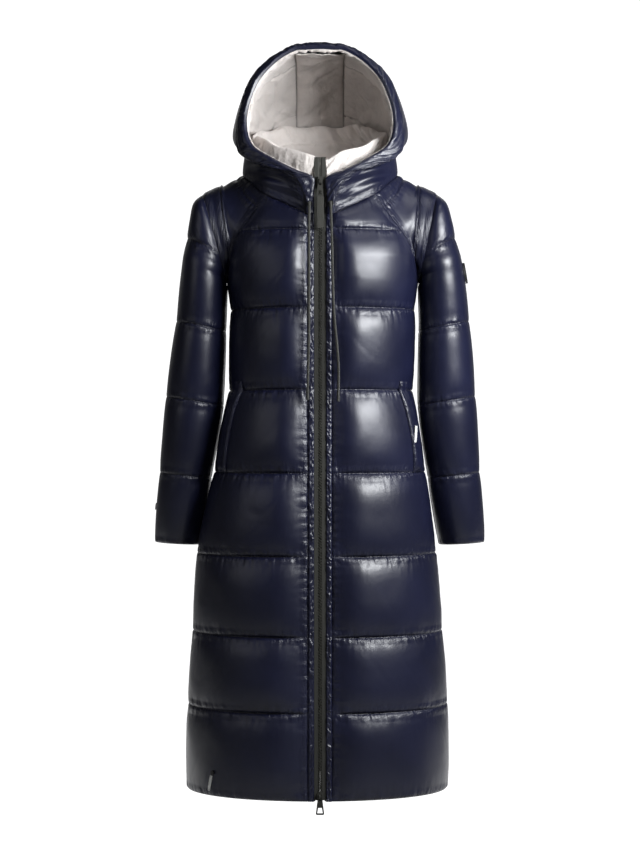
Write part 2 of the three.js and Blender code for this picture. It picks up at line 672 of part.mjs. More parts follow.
// Where the casing meets the sides and the centre, both use one direction
function hoodDirections() {
  const side = hoodSide();
  const centre = hoodCentre();
  const casing = hoodCasing(0);
  const outSide = gridNormals(side, 1);
  const outCentre = gridNormals(centre, -1);
  const outCasing = gridNormals(casing, 1);
  const count = HOOD_CASING.length;
  const share = (a, b) => {
    const both = a.clone().add(b).normalize();
    a.copy(both);
    b.copy(both);
  };
  for (let n = 0; n < count; n++) {
    const mirror = outCasing[casing.length - 1 - n][3];
    share(outSide[0][n], mirror);
    outCasing[n][3].copy(flip(-1, mirror));
  }
  for (let n = 1; n < 4; n++) share(outCentre[0][n], outCasing[count + n - 1][3]);
  for (let n = 1; n < HOOD_TOP.length; n++) {
    share(outSide[n][count - 1], outCentre[n][4]);
    outCentre[n][0].copy(flip(-1, outCentre[n][4]));
  }
  outCentre[0][4].copy(outSide[0][count - 1]);
  outCentre[0][0].copy(flip(-1, outCentre[0][4]));
  return { side, centre, casing, outSide, outCentre, outCasing };
}

const HOOD_BEVEL = 3;
const hood = hoodDirections();
for (const [side, name] of SIDES) {
  add(`hood_side_${name}`, wall({
    grid: hood.side.map((row) => row.map((p) => flip(side, p))),
    normals: hood.outSide.map((row) => row.map((p) => flip(side, p))),
    lift: (i, j) => 6 * arc(i / 9) * arc(j / 9),
    bevel: HOOD_BEVEL,
  }).geometry, NAVY);
}
add('hood_centre', wall({
  grid: hood.centre,
  normals: hood.outCentre,
  lift: (i, j) => (j % 4 && i % 9 ? 4 : 0),
  bevel: HOOD_BEVEL,
}).geometry, NAVY);
const casing = wall({
  grid: hood.casing,
  normals: hood.outCasing,
  lift: (i, j) => [1.5, 4.5, 4.5, 0][j],
  bevel: HOOD_BEVEL,
});
add('hood_casing', casing.geometry, NAVY);

// The lining lies inside the shell; its folds stand inwards
const LINING_GAP = WALL + 1.2;
const FOLD = 4;
const CASING_LINED = 0.8;       // part of the casing's width that its lining covers

function fraction(row, t) {
  const at = t * (row.length - 1);
  const n = Math.min(Math.floor(at), row.length - 2);
  return blend(row[n], row[n + 1], at - n);
}

const LINED_ROWS = [0, 1, 2, 3, 4, 5, 6, 6.5];

function lined(grid, normals, from, count) {
  const take = (rows) => LINED_ROWS.map((s) => {
    const n = Math.floor(s);
    const start = from(s / 6.5);
    return Array.from({ length: count + 1 }, (_, j) => {
      const t = mix(start, 1, j / count);
      return blend(fraction(rows[n], t), fraction(rows[Math.min(n + 1, rows.length - 1)], t), s - n);
    });
  });
  return { grid: take(grid), normals: take(normals).map((row) => row.map((p) => p.normalize())) };
}

for (const [side, name] of SIDES) {
  const { grid, normals } = lined(hood.side, hood.outSide, (s) => mix(0.47, 0.76, s), 6);
  add(`hood_lining_${name}`, wall({
    grid: grid.map((row) => row.map((p) => flip(side, p))),
    normals: normals.map((row) => row.map((p) => flip(side, p))),
    thick: (i, j) => LINING + (j % 2 ? FOLD * (1 - i / 14) : 0),
    deep: LINING_GAP,
    bevel: 2.5,
  }).geometry, SATIN);
}
{
  const { grid, normals } = lined(hood.centre, hood.outCentre, () => 0, 4);
  add('hood_lining_centre', wall({
    grid, normals, thick: (i, j) => LINING + (j % 2 ? FOLD : 0), deep: LINING_GAP, bevel: 2.5,
  }).geometry, SATIN);
  const from = 2;
  const edge = hood.casing.slice(from, hood.casing.length - from).map(
    (row) => row.map((_, j) => fraction(row, (CASING_LINED * j) / 3)));
  const out = hood.outCasing.slice(from, hood.casing.length - from);
  add('hood_lining_casing', wall({
    grid: edge, normals: out, thick: (i, j) => LINING + (i % 2 && j % 3 ? 2.5 : 0),
    deep: LINING_GAP + 0.8, bevel: 2.2,
  }).geometry, SATIN);
}

// Stand collar of the lining, inside the hood from one tape to the other
{
  const half = COLLAR.map(({ low, top }) => [0, 0.5, 1].map((t) => blend(low, top, t)));
  const grid = [...half.map((row) => row.map((p) => flip(-1, p))), ...half.slice(0, -1).toReversed()];
  add('collar', wall({
    grid, normals: gridNormals(grid, -1), lift: (i, j) => (j === 1 ? 3 : 0),
    thick: (i, j) => LINING + (j === 1 ? 4 : 1.5) + (i % 2 ? 1.5 : 0),
  }).geometry, SATIN);
}

// Zip chain, sliders and their swinging pulls
const SLIDER = { wide: 9.4, deep: 6, long: 20, bridge: 2.6, inside: 3.6, ring: 1.6 };
const PULL = { bar: 1.6, window: 5, slot: 6, thick: 1.6 };
const PULLS = [
  { name: 'top', bar: -20, deep: 135.6, long: 27, top: 3.8, low: 6.2 },
  { name: 'bottom', bar: -1140, deep: 169.5, long: 32, top: 3.8, low: 7.6 },
];

function upright(shape, thick, y) {
  const options = { depth: thick, bevelEnabled: false, curveSegments: 5 };
  const geometry = new THREE.ExtrudeGeometry(shape, options);
  return geometry.rotateX(Math.PI / 2).translate(0, y + thick, 0);
}

function slider({ bar, deep }) {
  const [w, l] = [SLIDER.wide / 2, SLIDER.long / 2];
  const body = new THREE.Shape([
    [-w + 1.5, -l], [w - 1.5, -l], [w, -l + 2], [w, l - 5],
    [w - 2, l], [-w + 2, l], [-w, l - 5], [-w, -l + 2],
  ].map(([x, z]) => new THREE.Vector2(x, z)));
  const plate = upright(body, SLIDER.deep, 0).translate(0, -deep - SLIDER.deep, bar);
  const far = SLIDER.inside + SLIDER.ring;
  const ring = new THREE.Shape();
  ring.moveTo(-far, 1).lineTo(-far, 0);
  ring.absarc(0, 0, far, Math.PI, 2 * Math.PI, false);
  ring.lineTo(far, 1).lineTo(SLIDER.inside, 1).lineTo(SLIDER.inside, 0);
  ring.absarc(0, 0, SLIDER.inside, 2 * Math.PI, Math.PI, true);
  ring.lineTo(-SLIDER.inside, 1);
  const turned = new THREE.Matrix4().makeBasis(V(0, 0, 1), V(0, 1, 0), V(1, 0, 0));
  const options = { depth: SLIDER.bridge, bevelEnabled: false, curveSegments: 8 };
  const standing = new THREE.ExtrudeGeometry(ring, options)
    .translate(0, 0, -SLIDER.bridge / 2).applyMatrix4(turned).translate(0, -deep - SLIDER.deep, bar);
  return fromManifold(toManifold(plate).add(toManifold(standing)));
}

function pull({ bar, deep, long, top, low }) {
  const half = PULL.bar / 2;
  const outline = new THREE.Shape([
    [-low, -long + 2], [-low + 1.5, -long], [low - 1.5, -long], [low, -long + 2], [top, half], [-top, half],
  ].map(([x, z]) => new THREE.Vector2(x, z)));
  const window = (upper, lower, from, to) => new THREE.Path([
    [-upper, from], [upper, from], [lower, to], [-lower, to],
  ].map(([x, z]) => new THREE.Vector2(x, z)));
  const slot = PULL.window / 2;
  outline.holes.push(window(slot, slot, -half, -half - PULL.slot));
  outline.holes.push(window((low - 2.6) * 0.66, low - 2.6, -long * 0.6, -long + 3));
  return upright(outline, PULL.thick, 0).translate(0, -deep - SLIDER.deep - 1.6 - PULL.thick / 2, bar);
}

const teeth = { top: PULLS[0].bar - 10.1, bottom: PULLS[1].bar + 10.1, proud: 1.2 };
add('zip_chain', strip(-ZIP.chain, ZIP.chain, teeth.top, teeth.bottom, 1, teeth.proud, ZIP.thick, 1), TAPE);
for (const one of PULLS) {
  add(`${one.name}_slider`, slider(one), METAL);
  add(`${one.name}_pull`, pull(one), METAL);
}
{
  const one = PULLS[0];
  const strap = new THREE.Shape();
  const [half, long] = [6.8, 58];
  strap.moveTo(-half, 0).lineTo(half, 0).lineTo(half, -long + 3);
  strap.absarc(half - 3, -long + 3, 3, 0, -Math.PI / 2, true);
  strap.lineTo(-half + 3, -long);
  strap.absarc(-half + 3, -long + 3, 3, -Math.PI / 2, -Math.PI, true);
  const thick = 2.4;
  add('pull_strap', upright(strap, thick, 0).translate(
    0, -one.deep - SLIDER.deep - 1.6 - thick / 2, one.bar - one.long - 0.3), TAPE);
}

// Pieces that lie on a panel

function laid(base, normals, thick) {
  const clear = 2 * CLEAR;
  return wall({ grid: base, normals, lift: (i, j) => clear + thick(i, j), thick: () => -clear });
}

function seated(geometry, panel, out) {
  const below = toManifold(panel.clone().translate(...out.clone().multiplyScalar(CLEAR).toArray()));
  return fromManifold(toManifold(geometry).subtract(below));
}

const welts = {};
for (const [side, name] of SIDES) {
  const { rows, outer, normals } = frontSurfaces[side];
  const slit = FRONT_COLUMNS.indexOf('slit');
  const used = rows.flatMap((row, i) => (row.high <= WELT.top && row.high >= WELT.bottom ? [i] : []));
  const between = (rowset, i, t) => blend(rowset[i][slit], rowset[i][slit + 1], t);
  const base = used.map((i) => [0, 0.5, 1].map((t) => between(outer, i, t)));
  const out = used.map((i) => [0, 0.5, 1].map((t) => between(normals, i, t).normalize()));
  welts[side] = laid(base, out, (i, j) => (j === 1 ? WELT.thick : 2.5));
  add(`pocket_welt_${name}`, welts[side].geometry, NAVY);
}

// A small flat piece set on a surface: turned so that its thickness points out
function flatPiece(geometry, at, out, turn = 0) {
  const across = V(0, 0, 1).cross(out).normalize();
  const up = out.clone().cross(across);
  const basis = new THREE.Matrix4().makeBasis(across, up, out);
  return geometry.rotateZ(turn).applyMatrix4(basis).translate(at.x, at.y, at.z);
}

function onGrid(grid, high, across, facing) {
  let best = null;
  for (let i = 0; i + 1 < grid.length; i++) {
    for (let j = 0; j + 1 < grid[i].length; j++) {
      const [a, b, c] = [grid[i][j], grid[i + 1][j], grid[i][j + 1]];
      const u = (high - a.z) / (b.z - a.z);
      const start = mix(a.x, b.x, u);
      const v = (across - start) / (mix(c.x, grid[i + 1][j + 1].x, u) - start);
      if (u < 0 || u > 1 || v < 0 || v > 1) continue;
      const point = blend(blend(a, b, u), blend(c, grid[i + 1][j + 1], u), v);
      const out = b.clone().sub(a).cross(c.clone().sub(a)).normalize();
      if (out.dot(facing) < 0) out.negate();
      if (!best || point.dot(facing) > best.point.dot(facing)) best = { point, out };
    }
  }
  return best;
}

const FORWARD = V(0, -1, 0);
{
  const spot = onGrid(welts[1].outer, -482, 175, FORWARD);
  add('pocket_label', seated(flatPiece(new THREE.BoxGeometry(7, 31, 2.6), spot.point, spot.out, -0.12),
    welts[1].geometry, spot.out), WHITE);
}
{
  const panel = coat.getObjectByName('front_right').geometry;
  const outer = frontSurfaces[-1].outer;
  const low = onGrid(outer, -1124, -200, FORWARD);
  const tag = flatPiece(new THREE.BoxGeometry(5, 27, 5), low.point, low.out, 0.12);
  add('hem_tag', seated(tag, panel, low.out), WHITE);
  const head = onGrid(outer, -1104, -196, FORWARD);
  const button = new THREE.CylinderGeometry(4, 4, 7, 12).rotateX(Math.PI / 2);
  add('hem_eyelet', seated(flatPiece(button, head.point, head.out), panel, head.out), BLACK);
}

// The middle of a patch of a sleeve's outer side, from its own points
function onSleeve(side, row, column) {
  const { outer } = sleeves[side];
  const [a, b] = [outer[row][column], outer[row + 1][column + 1]];
  const [c, d] = [outer[row + 1][column], outer[row][column + 1]];
  const point = blend(blend(a, b, 0.5), blend(c, d, 0.5), 0.5);
  const out = b.clone().sub(a).cross(c.clone().sub(d)).normalize();
  return { point, out: out.x * side < 0 ? out.negate() : out };
}

const BADGE = { radius: 20, thick: 9, proud: 4.6 };
{
  const { point, out } = onSleeve(1, 5, 7);
  const disc = new THREE.CylinderGeometry(BADGE.radius, BADGE.radius, BADGE.thick, 32)
    .rotateX(Math.PI / 2);
  const at = point.addScaledVector(out, BADGE.proud - BADGE.thick / 2);
  add('sleeve_badge', seated(flatPiece(disc, at, out), sleeves[1].geometry, out), BLACK);
}
{
  const { point, out } = onSleeve(-1, 20, 8);
  const tag = flatPiece(new THREE.BoxGeometry(9, 13, 4), point, out);
  add('cuff_tag', seated(tag, sleeves[-1].geometry, out), WHITE);
}

// Eyelets in the casing and the drawcords that hang from them
const CORD = { radius: 2.5, sides: 8, tip: 20 };
const EYELET = { high: -59, face: -136.6, radius: 5.6, hole: 3.1, deep: 5 };
const CORDS = {
  1: [
    V(19.5, -139.6, -56), V(19.7, -142.6, -68), V(20.4, -147.5, -90), V(21.4, -151.5, -120),
    V(22.4, -154.5, -160), V(23.2, -156, -200), V(24.4, -156.5, -240), V(26.6, -157, -275),
    V(29.4, -157.5, -305), V(32.2, -158, -335), V(33.8, -158, -365), V(33.8, -157.5, -385),
    V(33.4, -157, -402),
  ],
  '-1': [
    V(-19.5, -139.6, -56), V(-19.7, -142.6, -68), V(-20, -147.5, -90), V(-20, -151.5, -120),
    V(-20, -154.5, -160), V(-20, -156, -200), V(-20.1, -156, -240), V(-20.2, -156, -275),
    V(-20.4, -156, -305), V(-20.9, -156, -335), V(-21.6, -155.5, -365), V(-22.1, -155.5, -385),
    V(-22.4, -155.5, -399),
  ],
};

for (const [side, name] of SIDES) {
  const points = CORDS[side];
  const ring = new THREE.Shape().absarc(0, 0, EYELET.radius, 0, 2 * Math.PI);
  ring.holes.push(new THREE.Path().absarc(0, 0, EYELET.hole, 0, 2 * Math.PI, true));
  const disc = new THREE.ExtrudeGeometry(ring, { depth: EYELET.deep, bevelEnabled: false, curveSegments: 8 })
    .translate(0, 0, -EYELET.deep);
  const eyelet = flatPiece(disc, V(points[0].x, EYELET.face, EYELET.high), FORWARD);
  add(`eyelet_${name}`, seated(eyelet, casing.geometry, FORWARD), BLACK);
  const section = new THREE.Shape(Array.from({ length: CORD.sides }, (_, n) => {
    const angle = (2 * Math.PI * n) / CORD.sides;
    return new THREE.Vector2(CORD.radius * Math.cos(angle), CORD.radius * Math.sin(angle));
  }));
  const route = new THREE.CatmullRomCurve3(points);
  const options = { steps: 36, extrudePath: route, bevelEnabled: false };
  add(`drawcord_${name}`, new THREE.ExtrudeGeometry(section, options), TAPE);
  const end = points.at(-1);
  add(`cord_tip_${name}`, new THREE.CylinderGeometry(3, 3, CORD.tip, 12).rotateX(Math.PI / 2)
    .translate(end.x, end.y, end.z - 0.4 - CORD.tip / 2), BLACK);
}

export default coat;
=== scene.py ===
# Long hooded puffer coat: padded shell, satin lining, zip, cords and trims, in a pale studio.
# The tables below are in millimetres, +Z up; the front faces -Y and the wearer's left is +X.
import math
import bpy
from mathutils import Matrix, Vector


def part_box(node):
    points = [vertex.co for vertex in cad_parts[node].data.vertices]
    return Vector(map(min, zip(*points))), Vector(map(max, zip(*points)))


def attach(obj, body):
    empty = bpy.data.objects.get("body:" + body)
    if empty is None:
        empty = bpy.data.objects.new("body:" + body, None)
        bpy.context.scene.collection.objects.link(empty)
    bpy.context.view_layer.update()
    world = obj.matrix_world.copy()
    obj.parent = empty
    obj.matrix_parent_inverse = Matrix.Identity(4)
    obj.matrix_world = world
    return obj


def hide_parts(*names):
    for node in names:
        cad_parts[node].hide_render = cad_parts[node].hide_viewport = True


bl_info = {
    "name": "Long Puffer Coat",
    "version": (1, 0, 0),
    "blender": (4, 5, 0),
    "location": "View3D > Sidebar > Coat",
    "description": "Builds a long hooded puffer coat with its finishes and a pale studio around it",
    "category": "Add Mesh",
}

import bpy
import numpy as np
from bpy.props import FloatProperty, FloatVectorProperty, PointerProperty

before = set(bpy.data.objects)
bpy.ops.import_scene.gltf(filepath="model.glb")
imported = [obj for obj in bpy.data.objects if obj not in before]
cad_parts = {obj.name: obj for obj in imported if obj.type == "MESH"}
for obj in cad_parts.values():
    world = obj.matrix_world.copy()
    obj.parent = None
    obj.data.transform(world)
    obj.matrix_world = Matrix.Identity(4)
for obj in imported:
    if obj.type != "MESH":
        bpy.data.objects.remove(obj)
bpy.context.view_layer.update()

SQUARE = 2.1
CENTRE_EDGE = 22.3
ARMPIT = -197
SIDE_SEAM = math.radians(96)
QUILT = [-104, -249, -400, -553.5, -706, -852.7, -990.5, -1149.5]
PLACKET = {"inner": 10.9, "outer": 22, "puff": 3, "top": -78}
ZIP = {"chain": 2.3, "tape": 10.6, "thick": 1.4, "top": 27, "bottom": -1147}
TEETH = {"top": -31.5, "bottom": -1129}
BAND_STEPS = [0, 0.12, 0.35, 0.65, 0.88, 1]
SHELL_WALL = 3
SATIN_WALL = 1.2
# Distance from a seam that a mesh states where no seam is near
FAR = 50.0

# Torso sections: half width, middle, depth in front and behind, by height
TORSO = {
    "high": [30, -38, -104, -152, -197, -249, -400, -553.5, -706, -852.7, -990.5, -1149.5],
    "half": [168, 176, 188, 188, 180, 172.5, 171.5, 197.5, 224.5, 234, 243.5, 245],
    "shift": [0, 0, 2, 4, 5, 5.5, 1.5, -0.5, -6.5, -5, -4.5, -5.5],
    "front": [82, 110, 131, 137, 140, 141, 135, 147, 158, 164, 168, 169],
    "back": [101, 117, 122, 124, 124, 122, 112, 126, 142, 152, 160, 165],
}
RAGLAN_FRONT = {"high": [-38, -104, -121, -152, -197], "across": [101, 150, 161, 172.5, 180]}
RAGLAN_BACK = {"high": [20, -104, -121, -152, -197], "across": [95, 157, 163, 172.5, 180]}
POCKET = {
    "high": [-249, -400, -480, -553.5, -1149.5],
    "slit": [0.54, 0.54, 0.585, 0.6, 0.58],
    "welt": [0.66, 0.65, 0.72, 0.73, 0.7],
}
WELT = {"top": -382, "bottom": -553.5, "thick": 7}
ZIP_DEPTH = {"high": [27, -12, -42, -77, -104], "deep": [126, 135, 130, 124.5, 131]}
NECK_FRONT = (22.3, -124, -77)
NECK_SIDE = [(101, -92, -38), (128, -52, -13), (146, -2, 8), (131, 46, 18), (95, 84, 20)]
NECK_BACK = [(0, 101, 24), (50, 96, 23), (95, 84, 20)]
# Armhole seam A from the front up to the top: height, distance across, distance from its middle
SEAM_A = [
    (-145, 174, 63), (-133, 175.5, 69), (-117, 177.5, 73),
    (-88, 181, 71), (-56, 184.5, 60), (-28, 187, 39),
]
SEAM_A_TOP = (-12, 189)
SEAM_B = [-178, -160, -141, -100, -66, -38]
SEAM_B_TOP = (-27, 221)
ARM_MIDDLE = 4
ARMHOLE = {"middle": -112, "half": 85.2, "deep": 70, "square": 2.2}
AROUND = 16
# Sleeve cap rows: outer side, its height, the seam height it meets, depth, place in its channel
CAP_ROWS = [
    (223, -26, -38, 0, 0), (238, -47, -66, 63, 0.3), (246, -80, -100, 72, 0.62),
    (253, -112, -141, 73, 1), (258, -134, -160, 73, 1.14), (262.5, -158, -178, 73, 1.36),
]
# Sleeve rings: outer side, its height, inner side, its height, depth, middle, place
RING_ROWS = [
    (269, -199, 182.4, -199.5, 72, 5, 1.62), (275, -250, 183, -267, 70, 7, 1.88),
    (277, -269, 183, -288, 70, 7, 2),
]
SLEEVE_BANDS = [
    (277, -269, 183, -288, 70, 7, 2), (293, -411, 185, -428, 63, 13, 3),
    (304, -555, 207, -565, 55, 25, 4), (316, -689, 229, -694, 50, 52, 5),
]
HOOD_EDGE = [
    (12, -127, -76), (11.6, -133, -42), (11.4, -138, -12), (42, -140, 0), (84, -135, 22),
    (127, -119, 52), (138, -108, 103), (120, -99, 165), (88, -94, 206), (50, -92, 231),
]
HOOD_CASING = [
    (27, -125, -75), (29, -132, -48), (42, -137, -18), (66, -134, 2), (106, -122, 12),
    (147, -98, 38), (150, -86, 100), (131, -76, 172), (96, -71, 214), (51, -69, 238),
]
HOOD_TOP = [
    (51, -69, 238), (50, -30, 245), (49, 15, 245), (48, 58, 235), (48, 98, 215),
    (48, 130, 183), (48, 146, 140), (48, 141, 88), (47, 124, 52), (46, 98, 26),
]
HOOD_CROWN = 6
HOOD_BULGE = 9
# The lining: its distance inside the hood, the share of the hood's rows it covers, its grid
LINING_ROOM = 6.2
LINED_SHARE = 6.5 / 9
LINED_ROWS = 90
LINED_COLUMNS = 80
COLLAR_LOW = [
    (13, -117, -64), (36, -106, -56), (80, -80, -26), (107, -46, -2), (124, -3, 17),
    (112, 38, 27), (84, 72, 29), (44, 84, 32), (0, 89, 33),
]
COLLAR_TOP = [
    (10.55, -125, 27), (38, -121, 36), (86, -103, 52), (112, -66, 68), (126, -10, 84),
    (117, 44, 98), (90, 84, 110), (46, 108, 117), (0, 115, 119),
]
CORD_LEFT = [
    (19.5, -139.6, -56), (19.7, -142.6, -68), (20.4, -147.5, -90), (21.4, -151.5, -120),
    (22.4, -154.5, -160), (23.2, -156, -200), (24.4, -156.5, -240), (26.6, -157, -275),
    (29.4, -157.5, -305), (32.2, -158, -335), (33.8, -158, -365), (33.8, -157.5, -385),
    (33.4, -157, -402),
]
CORD_RIGHT = [
    (-19.5, -139.6, -56), (-19.7, -142.6, -68), (-20, -147.5, -90), (-20, -151.5, -120),
    (-20, -154.5, -160), (-20, -156, -200), (-20.1, -156, -240), (-20.2, -156, -275),
    (-20.4, -156, -305), (-20.9, -156, -335), (-21.6, -155.5, -365), (-22.1, -155.5, -385),
    (-22.4, -155.5, -399),
]
SIDES = ((1, "left"), (-1, "right"))
surfaces = {}


# Numbers and curves

def lookup(table, high, name):
    return np.interp(-np.asarray(high, float), -np.array(table["high"], float), table[name])


def shift(high):
    return lookup(TORSO, high, "shift")


def lean(high):
    return shift(np.maximum(high, QUILT[3]))


def power(value, exponent):
    return np.sign(value) * np.abs(value) ** exponent


def unit(vectors):
    return vectors / np.maximum(np.linalg.norm(vectors, axis=-1, keepdims=True), 1e-9)


def pillow(t):
    """Height of the padding across a channel, 0 at both seams and 1 in the middle."""
    return np.maximum(0, 1 - np.abs(2 * t - 1) ** 2.6) ** 0.62


def plump(away, reach):
    """Height of thin padding by its distance from a seam, with a narrow groove there."""
    return 1 - np.exp(-(np.maximum(away, 0) / reach) ** 1.2)


def pinch(v, start, end):
    low = np.minimum(1, np.maximum(v, 0) / start)
    high = np.minimum(1, np.maximum(1 - v, 0) / end)
    return (1 - (1 - low) ** 2.4) * (1 - (1 - high) ** 2.4)


def arch(t):
    return np.sqrt(np.maximum(0, 1 - (2 * t - 1) ** 2))


def noise(u, v, seed):
    """Smooth seeded noise from -1 to 1 over a plane, with one bump for each unit."""
    size = 97
    table = np.random.default_rng(seed).uniform(-1, 1, (size, size))
    u, v = np.broadcast_arrays(np.asarray(u, float), np.asarray(v, float))
    iu, iv = np.floor(u).astype(int), np.floor(v).astype(int)
    fu, fv = u - iu, v - iv
    fu = fu * fu * fu * (fu * (fu * 6 - 15) + 10)
    fv = fv * fv * fv * (fv * (fv * 6 - 15) + 10)
    near = table[iu % size, iv % size] * (1 - fu) + table[(iu + 1) % size, iv % size] * fu
    far = table[iu % size, (iv + 1) % size] * (1 - fu) + table[(iu + 1) % size, (iv + 1) % size] * fu
    return near * (1 - fv) + far * fv


def puckers(along, off, reach, grain, seed):
    """Short folds in millimetres of relative depth that run away from a seam."""
    fine = np.abs(noise(along / grain, off / (grain * 5), seed))
    wide = np.abs(noise(along / (grain * 2.3), off / (grain * 9) + 7, seed + 1))
    rise = 1 - np.exp(-off / 2.5)
    return (1.1 * fine + 1.5 * wide - 0.7) * rise * np.exp(-off / reach)


def dents(along, off, seed):
    """Broad soft hollows and a few faint creases of slack padding."""
    broad = noise(along / 105, off / 80, seed)
    slant = noise((along + 0.7 * off) / 62, (off - 0.3 * along) / 95, seed + 1)
    crease = np.abs(noise((along - 0.8 * off) / 50, (off + 0.4 * along) / 95, seed + 2))
    return 2.0 * broad + 1.2 * slant + 1.3 * np.minimum(crease, 0.4) - 0.4


def spline_weights(count, fine):
    """Rows of weights that run a smooth curve through count knots at fine places."""
    at = np.linspace(0, count - 1, fine)
    weights = np.zeros((fine, count))
    for row, s in enumerate(at):
        n = min(int(s), count - 2)
        t = s - n
        basis = (
            -0.5 * t + t * t - 0.5 * t ** 3,
            1 - 2.5 * t * t + 1.5 * t ** 3,
            0.5 * t + 2 * t * t - 1.5 * t ** 3,
            -0.5 * t * t + 0.5 * t ** 3,
        )
        for step, weight in zip((-1, 0, 1, 2), basis):
            knot = n + step
            if knot < 0:
                weights[row, 0] += 2 * weight
                weights[row, 1] -= weight
            elif knot >= count:
                weights[row, count - 1] += 2 * weight
                weights[row, count - 2] -= weight
            else:
                weights[row, knot] += weight
    return weights


def refine(grid, rows, columns):
    """A grid of points with more rows and columns, on smooth curves through it."""
    grid = np.asarray(grid, float)
    down = spline_weights(grid.shape[0], rows)
    over = spline_weights(grid.shape[1], columns)
    return np.einsum("ri,ijk,cj->rck", down, grid, over)


def facing_out(points, sign):
    """Directions square to a grid of points."""
    down = np.gradient(points, axis=0)
    over = np.gradient(points, axis=1)
    return unit(np.cross(down, over)) * sign


def run_length(points, axis):
    """Distance run along a grid's rows or columns, in millimetres."""
    steps = np.linalg.norm(np.diff(points, axis=axis), axis=-1)
    start = np.zeros_like(np.take(steps, [0], axis=axis))
    return np.concatenate([start, np.cumsum(steps, axis=axis)], axis=axis)


def coons(start, end, first, final, places=None):
    """A patch between four edges that share their corners."""
    start, end = np.asarray(start, float), np.asarray(end, float)
    first, final = np.asarray(first, float), np.asarray(final, float)
    a = np.linspace(0, 1, len(first)) if places is None else places
    a = a[:, None, None]
    b = np.linspace(0, 1, len(start))[None, :, None]
    ruled = start[None] * (1 - a) + end[None] * a + first[:, None] * (1 - b) + final[:, None] * b
    corners = (
        start[0] * (1 - a) * (1 - b) + start[-1] * (1 - a) * b
        + end[0] * a * (1 - b) + end[-1] * a * b
    )
    return ruled - corners


def blend(a, b, t):
    return np.asarray(a, float) * (1 - t) + np.asarray(b, float) * t


# Meshes

def grid_faces(rows, columns, offset, turned):
    i, j = np.meshgrid(np.arange(rows - 1), np.arange(columns - 1), indexing="ij")
    a = (offset + i * columns + j).ravel()
    quads = np.stack([a, a + columns, a + columns + 1, a + 1], -1)
    return quads[:, ::-1] if turned else quads


def make_mesh(name, blocks):
    """A mesh from grids of points, each with its flat place and distance from a seam."""
    places, faces, flats, seams = [], [], [], []
    offset = 0
    for points, flat, seam, turned in blocks:
        rows, columns = points.shape[:2]
        places.append(points.reshape(-1, 3) / 1000)
        flats.append(np.broadcast_to(flat, (rows, columns, 2)).reshape(-1, 2) / 1000)
        seams.append(np.broadcast_to(seam, (rows, columns)).reshape(-1) / 1000)
        faces.append(grid_faces(rows, columns, offset, turned))
        offset += rows * columns
    places, faces = np.concatenate(places), np.concatenate(faces)
    flats, seams = np.concatenate(flats), np.concatenate(seams)
    mesh = bpy.data.meshes.new(name)
    mesh.vertices.add(len(places))
    mesh.vertices.foreach_set("co", places.ravel())
    mesh.loops.add(faces.size)
    mesh.loops.foreach_set("vertex_index", faces.ravel())
    mesh.polygons.add(len(faces))
    mesh.polygons.foreach_set("loop_start", np.arange(0, faces.size, 4))
    mesh.update(calc_edges=True)
    mesh.validate()
    mesh.attributes.new("seam", "FLOAT", "POINT").data.foreach_set("value", seams)
    corners = np.zeros(len(mesh.loops), dtype=np.int32)
    mesh.loops.foreach_get("vertex_index", corners)
    mesh.uv_layers.new(name="flat").data.foreach_set("uv", flats[corners].ravel())
    mesh.shade_smooth()
    obj = bpy.data.objects.new(name, mesh)
    bpy.context.scene.collection.objects.link(obj)
    return obj


def turned_out(points, out):
    """Whether a grid's faces have to be turned over to face out."""
    return float(np.sum(facing_out(points, 1) * out)) < 0


def rims(outer, inner, flat, outward):
    """Strips that join the four edges of an outer and an inner skin."""
    edges = ((0, slice(None), 1), (-1, slice(None), 0), (slice(None), 0, 0), (slice(None), -1, 1))
    for row, column, turn in edges:
        rim = np.stack([outer[row, column], inner[row, column]])
        rim_flat = np.stack([flat[row, column], flat[row, column]])
        yield rim, rim_flat, FAR, outward if turn else not outward


def panel_blocks(base, out, lift, thick, flat, seam):
    """The outer skin, its turned edges and a plainer inner skin of a padded panel."""
    outer = base + out * lift[..., None]
    outward = turned_out(base, out)
    inner = base - out * thick
    rows, columns = base.shape[:2]
    pick_rows = np.unique(np.r_[np.arange(0, rows, 5), rows - 1])
    pick_columns = np.unique(np.r_[np.arange(0, columns, 5), columns - 1])
    inside = inner[np.ix_(pick_rows, pick_columns)]
    inside_flat = flat[np.ix_(pick_rows, pick_columns)]
    skins = [(outer, flat, seam, outward), (inside, inside_flat, FAR, not outward)]
    return skins + list(rims(outer, inner, flat, outward))


def dress(obj, material, body="coat", replaces=()):
    obj.data.materials.append(bpy.data.materials[material])
    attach(obj, body)
    if replaces:
        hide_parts(*replaces)
    return obj


def shell_piece(name, blocks, node):
    """A padded piece of the outer nylon, in the place of its plain solid."""
    obj = dress(make_mesh(f"shell_{name}", blocks), "shell_nylon", replaces=[node])


def flat_map(points):
    """Where each point lies on the flat cloth, from distances along the grid."""
    return np.stack([run_length(points, 1), run_length(points, 0)], -1)


# Body panels

def angle_at(high, across):
    reach = np.minimum(1, across / lookup(TORSO, high, "half"))
    return np.arcsin(reach ** (SQUARE / 2))


def torso(high, angle):
    high, angle = np.broadcast_arrays(np.asarray(high, float), np.asarray(angle, float))
    s, c = np.sin(angle), np.cos(angle)
    half = lookup(TORSO, high, "half")
    depth = np.where(c > 0, lookup(TORSO, high, "front"), lookup(TORSO, high, "back"))
    point = np.stack([shift(high) + half * power(s, 2 / SQUARE), -depth * power(c, 2 / SQUARE), high], -1)
    out = np.stack([power(s, 2 - 2 / SQUARE) / half, -power(c, 2 - 2 / SQUARE) / depth, 0 * high], -1)
    return point, unit(out)


